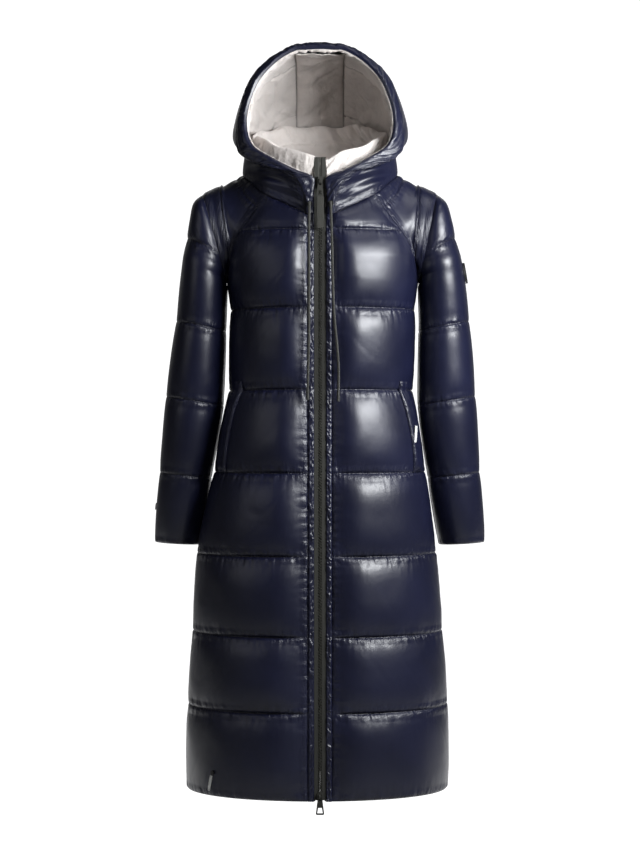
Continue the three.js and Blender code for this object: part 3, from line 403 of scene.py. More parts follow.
def seam_angle(high):
    t = np.clip((ARMPIT - high) / 52, 0, 1)
    return math.pi / 2 + (SIDE_SEAM - math.pi / 2) * t


def band_heights(rows):
    """Heights down all channels, closer together near the seams, and the place in each channel."""
    highs, places = [], []
    for n in range(len(QUILT) - 1):
        even = np.linspace(0, 1, rows)
        t = 0.65 * even + 0.35 * (0.5 - 0.5 * np.cos(math.pi * even))
        last = None if n == len(QUILT) - 2 else -1
        highs.append((QUILT[n] + (QUILT[n + 1] - QUILT[n]) * t)[:last])
        places.append(t[:last])
    return np.concatenate(highs), np.concatenate(places)


def spread(count):
    """Places across a panel, closer together at its two edges."""
    even = np.linspace(0, 1, count)
    return 0.75 * even + 0.25 * (0.5 - 0.5 * np.cos(math.pi * even))


def channel_relief(form, flat_u, t, channel, width, edge, seed, size=1.0):
    """What puckers and slack padding add to a channel, by distance from its seams."""
    top = t * width
    low = (1 - t) * width
    own = channel * 3.7
    deep = form.pucker * 1000
    folds = puckers(flat_u + own * 31, top, 13, 6.5, seed) * 1.15
    folds += puckers(flat_u - own * 17, low, 11, 6, seed + 11)
    side = puckers(top + own * 13, edge, 12, 7, seed + 23)
    slack = dents(flat_u + own * 97, top + own * 41, seed + 31) * form.slack
    calm = pillow(t) * np.minimum(1, edge / 30) ** 0.8
    return size * (deep * (folds + side) + slack * calm)


def panel_rows(count):
    """Neck shares of a body panel, and each row's height, place in its channel and channel."""
    highs, t = band_heights(count)
    neck = np.linspace(0, 1, 24)[:-1]
    rows = np.concatenate([np.full(len(neck), QUILT[0]), highs])
    place = np.concatenate([neck, t])[:, None]
    channel = np.searchsorted(-np.array(QUILT[1:]), -rows, side="left")
    channel = np.where(np.arange(len(rows)) < len(neck), -1, channel)[:, None]
    return neck, rows, place, channel


def front_panel(form, side, name):
    neck, rows, place, channel = panel_rows(50)
    v = spread(150)
    start = angle_at(rows, CENTRE_EDGE - side * shift(rows))
    arm = angle_at(rows, lookup(RAGLAN_FRONT, rows, "across"))
    end = np.where(rows < ARMPIT, seam_angle(rows), arm)
    angle = start[:, None] * (1 - v) + end[:, None] * v
    base, out = torso(rows[:, None], angle)
    if side < 0:
        base[..., 0] = 2 * shift(rows)[:, None] - base[..., 0]
        out[..., 0] *= -1
    above = blend(NECK_FRONT, NECK_SIDE[0], v[:, None]) * (side, 1, 1)
    for n, part in enumerate(neck):
        base[n] = blend(above, base[len(neck)], part)
    facing = np.cos(angle) ** 2
    full = form.puff_side * 1000 + (form.puff_front - form.puff_side) * 1000 * facing
    size = np.where(channel < 0, 0.5, 1.0)
    ease = np.where(rows > QUILT[1], 0.35, 0.1)[:, None]
    flat = flat_map(base)
    width = np.where(channel < 0, 60.0, 150.0)
    edge = np.minimum(flat[..., 0], flat[:, -1:, 0] - flat[..., 0])
    lift = size * full * pillow(place ** 0.94) * pinch(v[None], 0.2, ease)
    lift += channel_relief(form, flat[..., 0], place, channel, width, edge, 40 + side, size)
    lift = np.maximum(lift, 0)
    seam = np.minimum(np.minimum(place, 1 - place) * width, edge)
    surfaces[name] = (base + out * lift[..., None], out, v, rows)
    shell_piece(name, panel_blocks(base, out, lift, SHELL_WALL, flat, seam), name)


def back_panel(form):
    neck, rows, place, channel = panel_rows(42)
    v = 2 * spread(171) - 1
    arm = math.pi - angle_at(rows, lookup(RAGLAN_BACK, rows, "across"))
    end = np.where(rows < ARMPIT, seam_angle(rows), arm)
    angle = math.pi - (math.pi - end)[:, None] * np.abs(v)
    base, out = torso(rows[:, None], angle)
    mirror = v < 0
    base[:, mirror, 0] = 2 * shift(rows)[:, None] - base[:, mirror, 0]
    out[:, mirror, 0] *= -1
    edge_points = np.array([
        [np.interp(abs(x), (0, 3 / 7, 1), [p[axis] for p in NECK_BACK]) for axis in range(3)] for x in v
    ])
    edge_points[:, 0] *= np.where(v < 0, -1, 1)
    for n, part in enumerate(neck):
        base[n] = blend(edge_points, base[len(neck)], part)
    side = np.abs(v)[None]
    full = (form.puff_back * (1 - side ** 2) + form.puff_side * side ** 2) * 1000
    ease = np.where(rows > QUILT[1], 0.4, 0.15)[:, None]
    flat = flat_map(base)
    width = np.where(channel < 0, 125.0, 150.0)
    edge = np.minimum(flat[..., 0], flat[:, -1:, 0] - flat[..., 0])
    lift = full * pillow(place ** 0.94) * (1 - (1 - np.minimum(1, (1 - side) / ease)) ** 2.4)
    lift += channel_relief(form, flat[..., 0], place, channel, width, edge, 90)
    lift = np.maximum(lift, 0)
    seam = np.minimum(np.minimum(place, 1 - place) * width, edge)
    shell_piece("back", panel_blocks(base, out, lift, SHELL_WALL, flat, seam), "back")


# Zip and plackets

def zip_depth(high):
    above = lookup(ZIP_DEPTH, high, "deep")
    return np.where(np.asarray(high) <= QUILT[0], lookup(TORSO, high, "front"), above)


def lengthwise(low, high, top, bottom, step, across_count, side):
    """A strip beside the zip: its points, heights and places across."""
    highs = np.linspace(top, bottom, int((top - bottom) / step))
    w = np.linspace(0, 1, across_count)
    x = low + (high - low) * w
    depth = zip_depth(highs)
    points = np.empty((len(highs), across_count, 3))
    points[..., 0] = side * x
    points[..., 1] = -depth[:, None] + 0.02 * x
    points[..., 2] = highs[:, None]
    return points, highs[:, None], w[None]


def placket(side, name):
    points, high, w = lengthwise(
        PLACKET["inner"], PLACKET["outer"], PLACKET["top"], QUILT[-1], 1.5, 13, side)
    out = np.broadcast_to((0.0, -1.0, 0.0), points.shape)
    near = np.min(np.abs(high - np.array(QUILT)), axis=1)[:, None]
    ripple = np.abs(noise(high / 5.5 + w * 1.6, w * 1.2, 300 + side))
    ripple = ripple + 0.8 * np.abs(noise(high / 13 - w * 1.2, w * 1.4, 310 + side))
    lift = arch(w) * (PLACKET["puff"] - 1.1 * np.exp(-(near / 4) ** 2) + 2.6 * ripple - 1.4)
    flat = np.stack([np.broadcast_to(w * 11, high.shape[:1] + w.shape[1:]), 0 * w - high], -1)
    blocks = panel_blocks(points, out, np.maximum(lift, 0), SHELL_WALL, flat, FAR)
    # The seam allowance behind it closes the slits on both its sides
    allowance = points[:, [0, -1]] + np.array([[(-2.4 * side, 3.4, 0), (2.4 * side, 3.4, 0)]])
    blocks.append((allowance, flat[:, [0, -1]], FAR, side < 0))
    shell_piece(f"placket_{name}", blocks, f"placket_{name}")


def zip_tape(side, name):
    points, high, w = lengthwise(0.3, ZIP["tape"], ZIP["top"], ZIP["bottom"], 4, 12, side)
    # The tape runs on behind the teeth
    behind = np.clip((ZIP["chain"] + 0.35 - side * points[..., 0]) / 0.5, 0, 1)
    points[..., 1] += 1.15 * behind
    out = np.broadcast_to((0.0, -1.0, 0.0), points.shape)
    lift = 0.3 * np.exp(-((w - 0.42) / 0.05) ** 2) + 0 * high
    flat = np.stack([np.broadcast_to(w * 8, lift.shape), 0 * w - high], -1)
    blocks = panel_blocks(points, out, lift, ZIP["thick"], flat, FAR)
    obj = dress(make_mesh(f"tape_{name}", blocks), "zip_tape",
                replaces=[f"zip_tape_{name}"])


def zip_teeth(form):
    """Interlocked moulded teeth from one slider to the other, left and right in turn."""
    pitch = form.tooth_pitch * 1000
    highs = np.arange(TEETH["top"], TEETH["bottom"], -pitch)
    tooth = np.array([
        (-1.0, 0.8, -0.9), (3.0, 0.8, -1.1), (3.0, 0.8, 1.1), (-1.0, 0.8, 0.9),
        (-1.0, -0.75, -0.9), (3.0, -0.75, -1.1), (3.0, -0.75, 1.1), (-1.0, -0.75, 0.9),
        (-0.6, -1.3, -0.5), (2.4, -1.3, -0.7), (2.4, -1.3, 0.7), (-0.6, -1.3, 0.5),
    ])
    quads = np.array([
        (3, 2, 1, 0), (0, 1, 5, 4), (1, 2, 6, 5), (2, 3, 7, 6), (3, 0, 4, 7),
        (4, 5, 9, 8), (5, 6, 10, 9), (6, 7, 11, 10), (7, 4, 8, 11), (8, 9, 10, 11),
    ])
    places, faces = [], []
    for n, high in enumerate(highs):
        side = 1 if n % 2 else -1
        shape = tooth * (side, 1, 1) + (0, -float(zip_depth(high)), high)
        places.append(shape)
        turned = quads if side > 0 else quads[:, ::-1]
        faces.append(turned + n * len(tooth))
    mesh = bpy.data.meshes.new("teeth")
    mesh.from_pydata((np.concatenate(places) / 1000).tolist(), [], np.concatenate(faces).tolist())
    mesh.update()
    obj = bpy.data.objects.new("zip_teeth", mesh)
    bpy.context.scene.collection.objects.link(obj)
    dress(obj, "zip_plastic", replaces=["zip_chain"])


def pull_strap():
    """The heavy woven strap below the upper pull, with a round lower end."""
    half, long, thick = 6.8, 58.0, 2.4
    top, depth = -47.3, -143.2
    down = np.linspace(0, 1, 60)
    w = np.linspace(-1, 1, 15)
    corner = 3.0
    from_end = (1 - down) * long
    tuck = np.where(from_end < corner, corner - np.sqrt(
        np.maximum(0, corner ** 2 - (corner - np.minimum(from_end, corner)) ** 2)), 0)
    x = w[None] * (half - tuck)[:, None]
    z = top - down[:, None] * long + 0 * x
    edge = (1 - np.abs(w)[None] ** 6) ** 0.5 + 0 * z
    end = np.minimum(1, from_end[:, None] / 1.5 + 0.25) * np.minimum(1, down[:, None] * long / 1.2 + 0.4)
    y = depth + 0 * x
    front = np.stack([x, y - thick / 2 * edge * end, z], -1)
    rear = np.stack([x, y + thick / 2 * edge * end, z], -1)
    flat = np.stack([x, z], -1)
    blocks = [(front, flat, FAR, True), (rear, flat, FAR, False)]
    obj = make_mesh("strap", blocks)
    dress(obj, "strap_weave", body="upper_pull", replaces=["pull_strap"])


# Shoulders and sleeves

def seam_b_across(high):
    return 180 + (SEAM_B_TOP[1] - 180) * (high - ARMPIT) / (SEAM_B_TOP[0] - ARMPIT)


def seam_b_deep(high):
    off = abs((high - ARMHOLE["middle"]) / ARMHOLE["half"])
    return ARMHOLE["deep"] * max(0, 1 - off ** ARMHOLE["square"]) ** (1 / ARMHOLE["square"])


def on_seam_b(high, sign):
    return (seam_b_across(high) + float(shift(high)), ARM_MIDDLE + sign * seam_b_deep(high), high)


def raglan(table, high, back):
    angle = angle_at(high, lookup(table, high, "across"))
    point, _ = torso(high, math.pi - angle if back else angle)
    return tuple(float(x) for x in point)


def shoulder_grid(side):
    """Yoke and armhole strip as one grid, from the neck to the sleeve seam."""
    fore = [raglan(RAGLAN_FRONT, h, False) for h in (-104, -121, -152, ARMPIT)]
    aft = [raglan(RAGLAN_BACK, h, True) for h in (-104, -121, -152, ARMPIT)]
    top = (SEAM_A_TOP[1] + float(shift(SEAM_A_TOP[0])), ARM_MIDDLE, SEAM_A_TOP[0])
    half = [(a + float(shift(h)), ARM_MIDDLE - d, h) for h, a, d in SEAM_A]
    other = [(a + float(shift(h)), ARM_MIDDLE + d, h) for h, a, d in SEAM_A]
    loop_a = [fore[2], *half, top, *other[::-1], aft[2]]
    armpit = tuple(float(x) for x in torso(ARMPIT, math.pi / 2)[0])
    top_b = (SEAM_B_TOP[1] + float(shift(SEAM_B_TOP[0])), ARM_MIDDLE, SEAM_B_TOP[0])
    loop_b = [armpit, *[on_seam_b(h, -1) for h in SEAM_B], top_b,
              *[on_seam_b(h, 1) for h in SEAM_B[::-1]], armpit]
    knots = [0, 3, 7, 11, len(loop_a) - 1]
    neck = [[np.interp(n, knots, [p[axis] for p in NECK_SIDE]) for axis in range(3)]
            for n in range(len(loop_a))]
    lines = []
    for start, points in ((NECK_SIDE[0], fore), (NECK_SIDE[-1], aft)):
        lines.append([*[blend(start, points[0], n / 3) for n in range(3)], *points[:3]])
    runs = run_length(np.array(lines[0])[:, None], 0).ravel()
    yoke = coons(neck, loop_a, *lines, runs / runs[-1])
    last = [[points[2], blend(points[2], points[3], 0.5), points[3]] for points in (fore, aft)]
    strap = coons(loop_a, loop_b, *last)
    grid = np.concatenate([yoke, strap[1:]])
    if side < 0:
        grid[..., 0] = 2 * lean(grid[..., 2]) - grid[..., 0]
    return grid, len(yoke) - 1


def shoulder(form, side, name):
    grid, seam_row = shoulder_grid(side)
    yoke = refine(grid[:seam_row + 1], 70, 150)
    strip = refine(grid[seam_row:], 30, 150)
    # The yoke's padding has one sewn line across its middle
    for part, points, puff, lines in (
            ("yoke", yoke, form.puff_shoulder * 1000, (0, 0.2, 1)),
            ("armhole_strip", strip, form.puff_shoulder * 900, (0, 1))):
        out = facing_out(points, side)
        i = np.linspace(0, 1, points.shape[0])[:, None]
        n = np.clip(np.searchsorted(lines, i.ravel(), side="right") - 1, 0, len(lines) - 2)[:, None]
        low, high = np.array(lines)[n], np.array(lines)[n + 1]
        t = np.clip((i - low) / (high - low), 0, 1)
        flat = flat_map(points)
        tall = flat[-1:, :, 1] * (high - low)
        edge = np.minimum(flat[..., 0], flat[:, -1:, 0] - flat[..., 0])
        away = np.minimum(t, 1 - t) * tall
        lift = puff * plump(away, 4.5) * plump(edge, 5)
        lift += form.pucker * 550 * puckers(flat[..., 0], t * tall, 8, 6, 500 + side)
        lift += form.pucker * 550 * puckers(flat[..., 0], (1 - t) * tall, 8, 6, 520 + side)
        lift += 0.3 * form.slack * dents(flat[..., 0] * 1.4, flat[..., 1] * 1.4, 540 + side) * pillow(t)
        lift = np.maximum(lift * np.minimum(1, edge / 12), 0)
        blocks = panel_blocks(points, out, lift, SHELL_WALL, flat, np.minimum(away, edge))
        shell_piece(f"{part}_{name}", blocks, f"{part}_{name}")


def cap_row(row):
    out_x, out_high, seam_high, deep = row[0] + float(lean(row[1])), row[1], row[2], row[3]
    seam = on_seam_b(seam_high, -1)
    if not deep:
        top = (SEAM_B_TOP[1] + float(shift(SEAM_B_TOP[0])), ARM_MIDDLE, SEAM_B_TOP[0])
        rear = on_seam_b(seam_high, 1)
        places = [(2 * j) / AROUND for j in range(AROUND + 1)]
        return [blend(seam, top, t) if t <= 1 else blend(top, rear, t - 1) for t in places]
    turn = math.pi - math.asin(min(1, seam_b_deep(seam_high) / deep))
    reach = [d / (1 - math.cos(turn)) for d in (out_x - seam[0], out_high - seam_high)]
    points = []
    for j in range(AROUND + 1):
        angle = turn * (1 - (2 * j) / AROUND)
        fall = 1 - math.cos(angle)
        y = ARM_MIDDLE - deep * math.sin(angle)
        points.append((out_x - reach[0] * fall, y, out_high - reach[1] * fall))
    return points


def ring_row(row):
    out_x, in_x = (x + float(lean(row[1])) for x in (row[0], row[2]))
    points = []
    for j in range(AROUND + 1):
        angle = math.pi * (1 - (2 * j) / AROUND)
        part = (1 - math.cos(angle)) / 2
        y = row[5] - row[4] * (0 if j % AROUND == 0 else math.sin(angle))
        points.append((out_x + (in_x - out_x) * part, y, row[1] + (row[3] - row[1]) * part))
    return points


def sleeve_grid(side):
    """Points of a sleeve from its seam to the cuff, and each row's place in its channels."""
    rows = [np.array(cap_row(row)) for row in CAP_ROWS]
    rows += [np.array(ring_row(row)) for row in RING_ROWS]
    places = [row[-1] for row in (*CAP_ROWS, *RING_ROWS)]
    for upper, lower in zip(SLEEVE_BANDS, SLEEVE_BANDS[1:]):
        for t in BAND_STEPS[1:]:
            row = [a + (b - a) * t for a, b in zip(upper, lower)]
            rows.append(np.array(ring_row(row)))
            places.append(row[-1])
    grid = np.stack(rows)
    if side < 0:
        grid[..., 0] = 2 * lean(grid[..., 2]) - grid[..., 0]
    return grid, places


def sleeve(form, side, name):
    grid, places = sleeve_grid(side)
    rows, columns = 240, 170
    points = refine(grid, rows, columns)
    at = np.linspace(0, len(places) - 1, rows)
    along = np.interp(at, np.arange(len(places)), places)
    channel = np.minimum(np.floor(along + 1e-9), 4)
    t = (along - channel)[:, None]
    out = facing_out(points, side)
    j = np.linspace(0, 1, columns)[None]
    angle = math.pi * (1 - 2 * j)
    facing = np.sin(angle) ** 2
    cap = at[:, None] < len(CAP_ROWS)
    ease = np.where(cap, pinch(j, 0.12, 0.12), 1.0)
    inward = np.where(np.cos(angle) < -0.3, 0.6, 1.0)
    full = form.puff_sleeve * 1000 * facing + form.puff_sleeve_side * 1000 * inward * (1 - facing)
    flat = flat_map(points)
    tall = np.where(channel[:, None] < 1, 70.0, 142.0)
    cap_top = form.puff_shoulder * 900 * plump(t * 70, 4.5) * (1 - t) + full * t
    cap_lift = cap_top * np.where(t > 0.5, pillow(t), 1.0)
    lift = np.where(channel[:, None] < 1, cap_lift, pillow(t ** 0.94) * full) * ease
    own = channel[:, None] * 57
    loose = 0.35 + 0.65 * facing
    deep = form.pucker * 1000 * loose * ease
    lift = lift + deep * puckers(flat[..., 0] + own, t * tall, 11, 6.5, 600 + side)
    lift = lift + deep * puckers(flat[..., 0] - own, (1 - t) * tall, 10, 6, 620 + side)
    hollows = dents(flat[..., 0] + own, t * tall + own, 640 + side) * pillow(t)
    lift = lift + form.slack * loose * ease * hollows
    lift = np.maximum(lift, 0)
    seam = np.minimum(t, 1 - t) * tall + 0 * lift
    surfaces[f"sleeve_{name}"] = (points + out * lift[..., None], out, j.ravel(), at)
    blocks = panel_blocks(points, out, lift, SHELL_WALL, flat, seam)
    shell_piece(f"sleeve_{name}", blocks, f"sleeve_{name}")


# Hood

def hood_neck():
    side = [np.array(p) + (0, 0, 0.4) for p in NECK_SIDE]
    start = np.array(HOOD_CASING[0], float)
    end = np.array(HOOD_TOP[-1], float)
    return [start, blend(start, side[0], 0.5), *side[:4], blend(side[3], side[4], 0.5), side[4],
            blend(side[4], end, 0.5), end]


def hood_side_grid():
    grid = coons(HOOD_CASING, [HOOD_TOP[-1]] * len(HOOD_CASING), hood_neck(), HOOD_TOP)
    i = np.linspace(0, 1, grid.shape[0])[:, None]
    j = np.linspace(0, 1, grid.shape[1])[None]
    grid[..., 0] += HOOD_BULGE * np.sin(math.pi * i) * np.sin(math.pi * np.sqrt(j))
    return grid


def hood_centre_grid():
    v = np.array([-1, -0.5, 0, 0.5, 1])
    top = np.array(HOOD_TOP, float)
    grid = np.repeat(top[:, None], 5, axis=1)
    grid[..., 0] = v * top[:, :1]
    grid[-1, :, 0] = v * (top[-1, 0] - 2)
    out = facing_out(grid, -1)
    return grid + out[:, 2:3] * HOOD_CROWN * (1 - v ** 2)[None, :, None]


def hood_casing_grid():
    edge, rim = np.array(HOOD_EDGE, float), np.array(HOOD_CASING, float)
    crown = hood_centre_grid()[0][1:4]
    over = crown.copy()
    over[:, 1] = edge[-1, 1]
    over[:, 2] = edge[-1, 2] + 0.7 * (crown[:, 2] - rim[-1, 2])
    fore = np.concatenate([edge * (-1, 1, 1), over, edge[::-1]])
    rear = np.concatenate([rim * (-1, 1, 1), crown, rim[::-1]])
    return np.stack([blend(fore, rear, t) for t in (0, 1 / 3, 2 / 3, 1)], axis=1)


def chin_folds(points, seed):
    """Soft folds that run round the chin towards the zip."""
    x, y, z = np.moveaxis(points, -1, 0)
    low = np.clip((70 - z) / 60, 0, 1) * np.clip((-20 - y) / 60, 0, 1)
    wave = np.sin((z - 0.25 * np.abs(x)) / 26 * 2 * math.pi + 2 * noise(x / 60, z / 70, seed))
    return low * wave


def hood_shell(form):
    side_grid = hood_side_grid()
    for side, name in SIDES:
        points = refine(side_grid * (side, 1, 1), 130, 150)
        out = facing_out(points, side)
        i = np.linspace(0, 1, 130)[:, None]
        j = np.linspace(0, 1, 150)[None]
        flat = flat_map(points)
        lift = 6 * arch(i) * arch(j)
        away = np.minimum(np.minimum(i * 150, (1 - j) * 120), j * 120)
        lift = lift + form.pucker * 1500 * puckers(flat[..., 0], i * 200, 12, 6, 700 + side)
        lift = lift + form.pucker * 1100 * puckers(flat[..., 1], (1 - j) * 160, 10, 7, 710 + side)
        lift = lift + form.slack * dents(flat[..., 0], flat[..., 1], 720 + side) * arch(i) * arch(j)
        lift = lift + 4.6 * chin_folds(points, 730 + side) * arch(i) * arch(j)
        lift = np.maximum(lift, 0)
        blocks = panel_blocks(points, out, lift, SHELL_WALL, flat, away)
        shell_piece(f"hood_{name}", blocks, f"hood_side_{name}")
    points = refine(hood_centre_grid(), 150, 40)
    out = facing_out(points, -1)
    j = np.linspace(0, 1, 40)[None]
    flat = flat_map(points)
    edge = np.minimum(flat[..., 0], flat[:, -1:, 0] - flat[..., 0])
    lift = 4 * arch(j) + form.pucker * 700 * puckers(flat[..., 1], edge, 14, 10, 750)
    lift = np.maximum(lift + form.slack * dents(flat[..., 0], flat[..., 1], 760) * arch(j), 0)
    blocks = panel_blocks(points, out, lift, SHELL_WALL, flat, edge)
    shell_piece("hood_centre", blocks, "hood_centre")


def hood_casing(form):
    """The gathered band round the face, puckered square to its edge."""
    points = refine(hood_casing_grid(), 620, 22)
    out = facing_out(points, 1)
    w = np.linspace(0, 1, 22)[None]
    flat = flat_map(points)
    along = flat[..., 1]
    lift = 1.5 + 3.6 * arch(w) - 1.5 * w ** 4
    gather = np.abs(noise(along / 8, w * 1.2, 800)) + 0.7 * np.abs(noise(along / 19, w, 801))
    deep = form.gather * 1000 * (0.35 + 0.65 * np.sin(math.pi * np.clip(w * 0.9 + 0.05, 0, 1)))
    lift = np.maximum(lift + deep * (gather - 0.45), 0.2)
    seam = (1 - w) * 20 + 0 * along
    shell_piece("casing", panel_blocks(points, out, lift, SHELL_WALL, flat, seam), "hood_casing")


def lined_part(grid, out, start):
    """The part of a hood panel that its lining covers, from a start share of each row."""
    counts = [10 * (count - 1) + 1 for count in grid.shape[:2]]
    fine = refine(grid, *counts)
    ways = unit(refine(out, *counts))
    s = np.linspace(0, LINED_SHARE, LINED_ROWS)
    points = np.empty((LINED_ROWS, LINED_COLUMNS, 3))
    normals = np.empty_like(points)
    for n, (part, row) in enumerate(zip(s / LINED_SHARE, s * (counts[0] - 1))):
        low = int(row)
        high = min(low + 1, counts[0] - 1)
        line = blend(fine[low], fine[high], row - low)
        way = blend(ways[low], ways[high], row - low)
        at = (start(part) + (1 - start(part)) * np.linspace(0, 1, LINED_COLUMNS)) * (counts[1] - 1)
        for axis in range(3):
            points[n, :, axis] = np.interp(at, np.arange(counts[1]), line[:, axis])
            normals[n, :, axis] = np.interp(at, np.arange(counts[1]), way[:, axis])
    return points, unit(normals)


def lined_places():
    """Shares along the rows and columns of a lined part."""
    return np.linspace(0, 1, LINED_ROWS)[:, None], np.linspace(0, 1, LINED_COLUMNS)[None]


def satin_folds(flat, i, j, size, seed):
    """Padded cells of the lining with gathers along their seams, and how far a seam is."""
    over, down = np.minimum(j, 1 - j) * size, np.minimum(i, 1 - i) * size * 1.2
    swell = 13 * arch(j) ** 0.6 * arch(i) ** 0.8
    gathers = 3.6 * puckers(flat[..., 1], over + 0 * down, 24, 11, seed)
    gathers = gathers + 3.6 * puckers(flat[..., 0], down + 0 * over, 24, 11, seed + 4)
    slack = 2.6 * noise(flat[..., 0] / 30, flat[..., 1] / 36, seed + 8)
    slack = slack + 7 * np.abs(noise((flat[..., 0] + flat[..., 1]) / 34, flat[..., 1] / 55, seed + 9))
    return np.maximum(swell + gathers + slack * arch(j), 0), np.minimum(over, down)


def satin_piece(name, skin, out, flat, seam, node):
    """A lining piece, in the place of its plain solid."""
    blocks = panel_blocks(skin, -out, np.zeros(skin.shape[:2]), SATIN_WALL, flat, seam)
    obj = dress(make_mesh(f"satin_{name}", blocks), "lining_satin", replaces=[node])
    long = float(np.mean(run_length(skin, 0)[-1])) / 1000


def side_lining(side, name):
    grid = hood_side_grid()
    points, out = lined_part(grid, facing_out(grid, 1), lambda part: 0.42 - 0.02 * part)
    points, out = points * (side, 1, 1), out * (side, 1, 1)
    flat = flat_map(points)
    i, j = lined_places()
    folds, seam = satin_folds(flat, i * 2.2 % 1, j, 130, 820 + side)
    inward = LINING_ROOM + folds * arch(j) ** 0.5 * (1 - 0.2 * i)
    skin = points - out * inward[..., None]
    satin_piece(name, skin, out, flat, seam, f"hood_lining_{name}")


def centre_lining():
    grid = hood_centre_grid()
    points, out = lined_part(grid, facing_out(grid, -1), lambda part: 0.0)
    flat = flat_map(points)
    i, j = lined_places()
    folds, seam = satin_folds(flat, 0.1 + 0.9 * i, j, 110, 840)
    inward = LINING_ROOM + folds * arch(j) ** 0.5
    skin = points - out * inward[..., None]
    satin_piece("centre", skin, out, flat, seam, "hood_lining_centre")


def casing_lining():
    """The gathered satin inside the band round the face, over most of its width."""
    columns, covered = 16, 0.8
    casing = refine(hood_casing_grid()[2:-2], 560, columns)
    out = facing_out(casing, 1)
    out = unit(out[:, :1] * 0.5 + out * 0.5)
    part = np.linspace(0, 1, columns)[None]
    at = (covered * part * (columns - 1)).ravel()
    points = np.stack([
        np.stack([np.interp(at, np.arange(columns), row[:, axis]) for axis in range(3)], -1)
        for row in casing
    ])
    flat = flat_map(points)
    along = flat[..., 1]
    gather = np.abs(noise(along / 6, part * 1.3, 850)) + 0.7 * np.abs(noise(along / 15, part, 851))
    inward = LINING_ROOM - 1 + 5 * gather * arch(part) ** 0.4
    skin = points - out * inward[..., None]
    satin_piece("casing", skin, out, flat, FAR, "hood_lining_casing")


def collar():
    low = np.array([[-x, y, z] for x, y, z in COLLAR_LOW] + [list(p) for p in COLLAR_LOW[-2::-1]], float)
    top = np.array([[-x, y, z] for x, y, z in COLLAR_TOP] + [list(p) for p in COLLAR_TOP[-2::-1]], float)
    grid = np.stack([blend(low, top, t) for t in (0, 0.5, 1)], axis=1)
    points = refine(grid, 330, 60)
    out = facing_out(points, -1)
    w = np.linspace(0, 1, 60)[None]
    flat = flat_map(points)
    along = flat[..., 1]
    # The upper edge waves a little and both faces are gathered
    points[..., 2] += 5 * noise(along / 36, 0, 863) * w ** 2
    swell = 6 * arch(w) ** 0.7
    rolls = np.abs(noise(along / 44 + w, w * 2, 860)) * 12 + np.abs(noise(along / 15, w * 1.3, 861)) * 6
    face = np.abs(noise(along / 19 + 2 * w, w * 1.5, 864)) * 5 + 2 * np.abs(noise(along / 8, w * 2, 865))
    ridge = np.exp(-((w - 0.52 - 0.05 * noise(along / 120, 0, 862)) / 0.03) ** 2)
    inner = 2.2 + (swell + rolls) * arch(w) ** 0.5 - 2.5 * ridge * arch(w)
    outer = points + out * ((2.5 + face) * arch(w))[..., None]
    inside = points - out * np.maximum(inner, 1.2)[..., None]
    turned = turned_out(points, out)
    blocks = [(outer, flat, FAR, turned), (inside, flat, FAR, not turned)]
    blocks += rims(outer, inside, flat, turned)
    obj = dress(make_mesh("satin_collar", blocks), "lining_satin", replaces=["collar"])


# Pockets and small trims

def welt(side, name):
    """A padded welt on the front panel, from the slit to the pocket's outer edge."""
    outer, out, v, rows = surfaces[f"front_{name}"]
    first = int(np.argmax(rows < WELT["top"]))
    last = len(rows) - int(np.argmax((rows >= WELT["bottom"] - 0.01)[::-1])) - 1
    picked = np.arange(first, last + 1)
    w = np.linspace(0, 1, 16)
    points = np.empty((len(picked), 16, 3))
    ways = np.empty_like(points)
    for n, row in enumerate(picked):
        slit, edge = (float(lookup(POCKET, rows[row], key)) for key in ("slit", "welt"))
        at = slit + (edge - slit) * w
        for axis in range(3):
            points[n, :, axis] = np.interp(at, v, outer[row, :, axis])
            ways[n, :, axis] = np.interp(at, v, out[row, :, axis])
    # The panel's own small folds are smoothed away under the welt
    for _ in range(6):
        points[1:-1] = 0.25 * points[:-2] + 0.5 * points[1:-1] + 0.25 * points[2:]
    ways = unit(ways)
    i = np.linspace(0, 1, len(picked))[:, None]
    profile = arch(w)[None] ** 0.8 * np.minimum(1, np.minimum(i, 1 - i) * 14) ** 0.5
    ripple = np.abs(noise(i * 17, w[None] * 1.5, 900 + side))
    lift = 1.4 + (WELT["thick"] - 2.2 + 1.6 * ripple) * profile
    flat = flat_map(points)
    edge = np.minimum(flat[..., 0], flat[:, -1:, 0] - flat[..., 0])
    blocks = panel_blocks(points, ways, lift, 0.5, flat, edge)
    surfaces[f"welt_{name}"] = (points + ways * lift[..., None], ways, w, rows[picked])
    shell_piece(f"welt_{name}", blocks, f"pocket_welt_{name}")


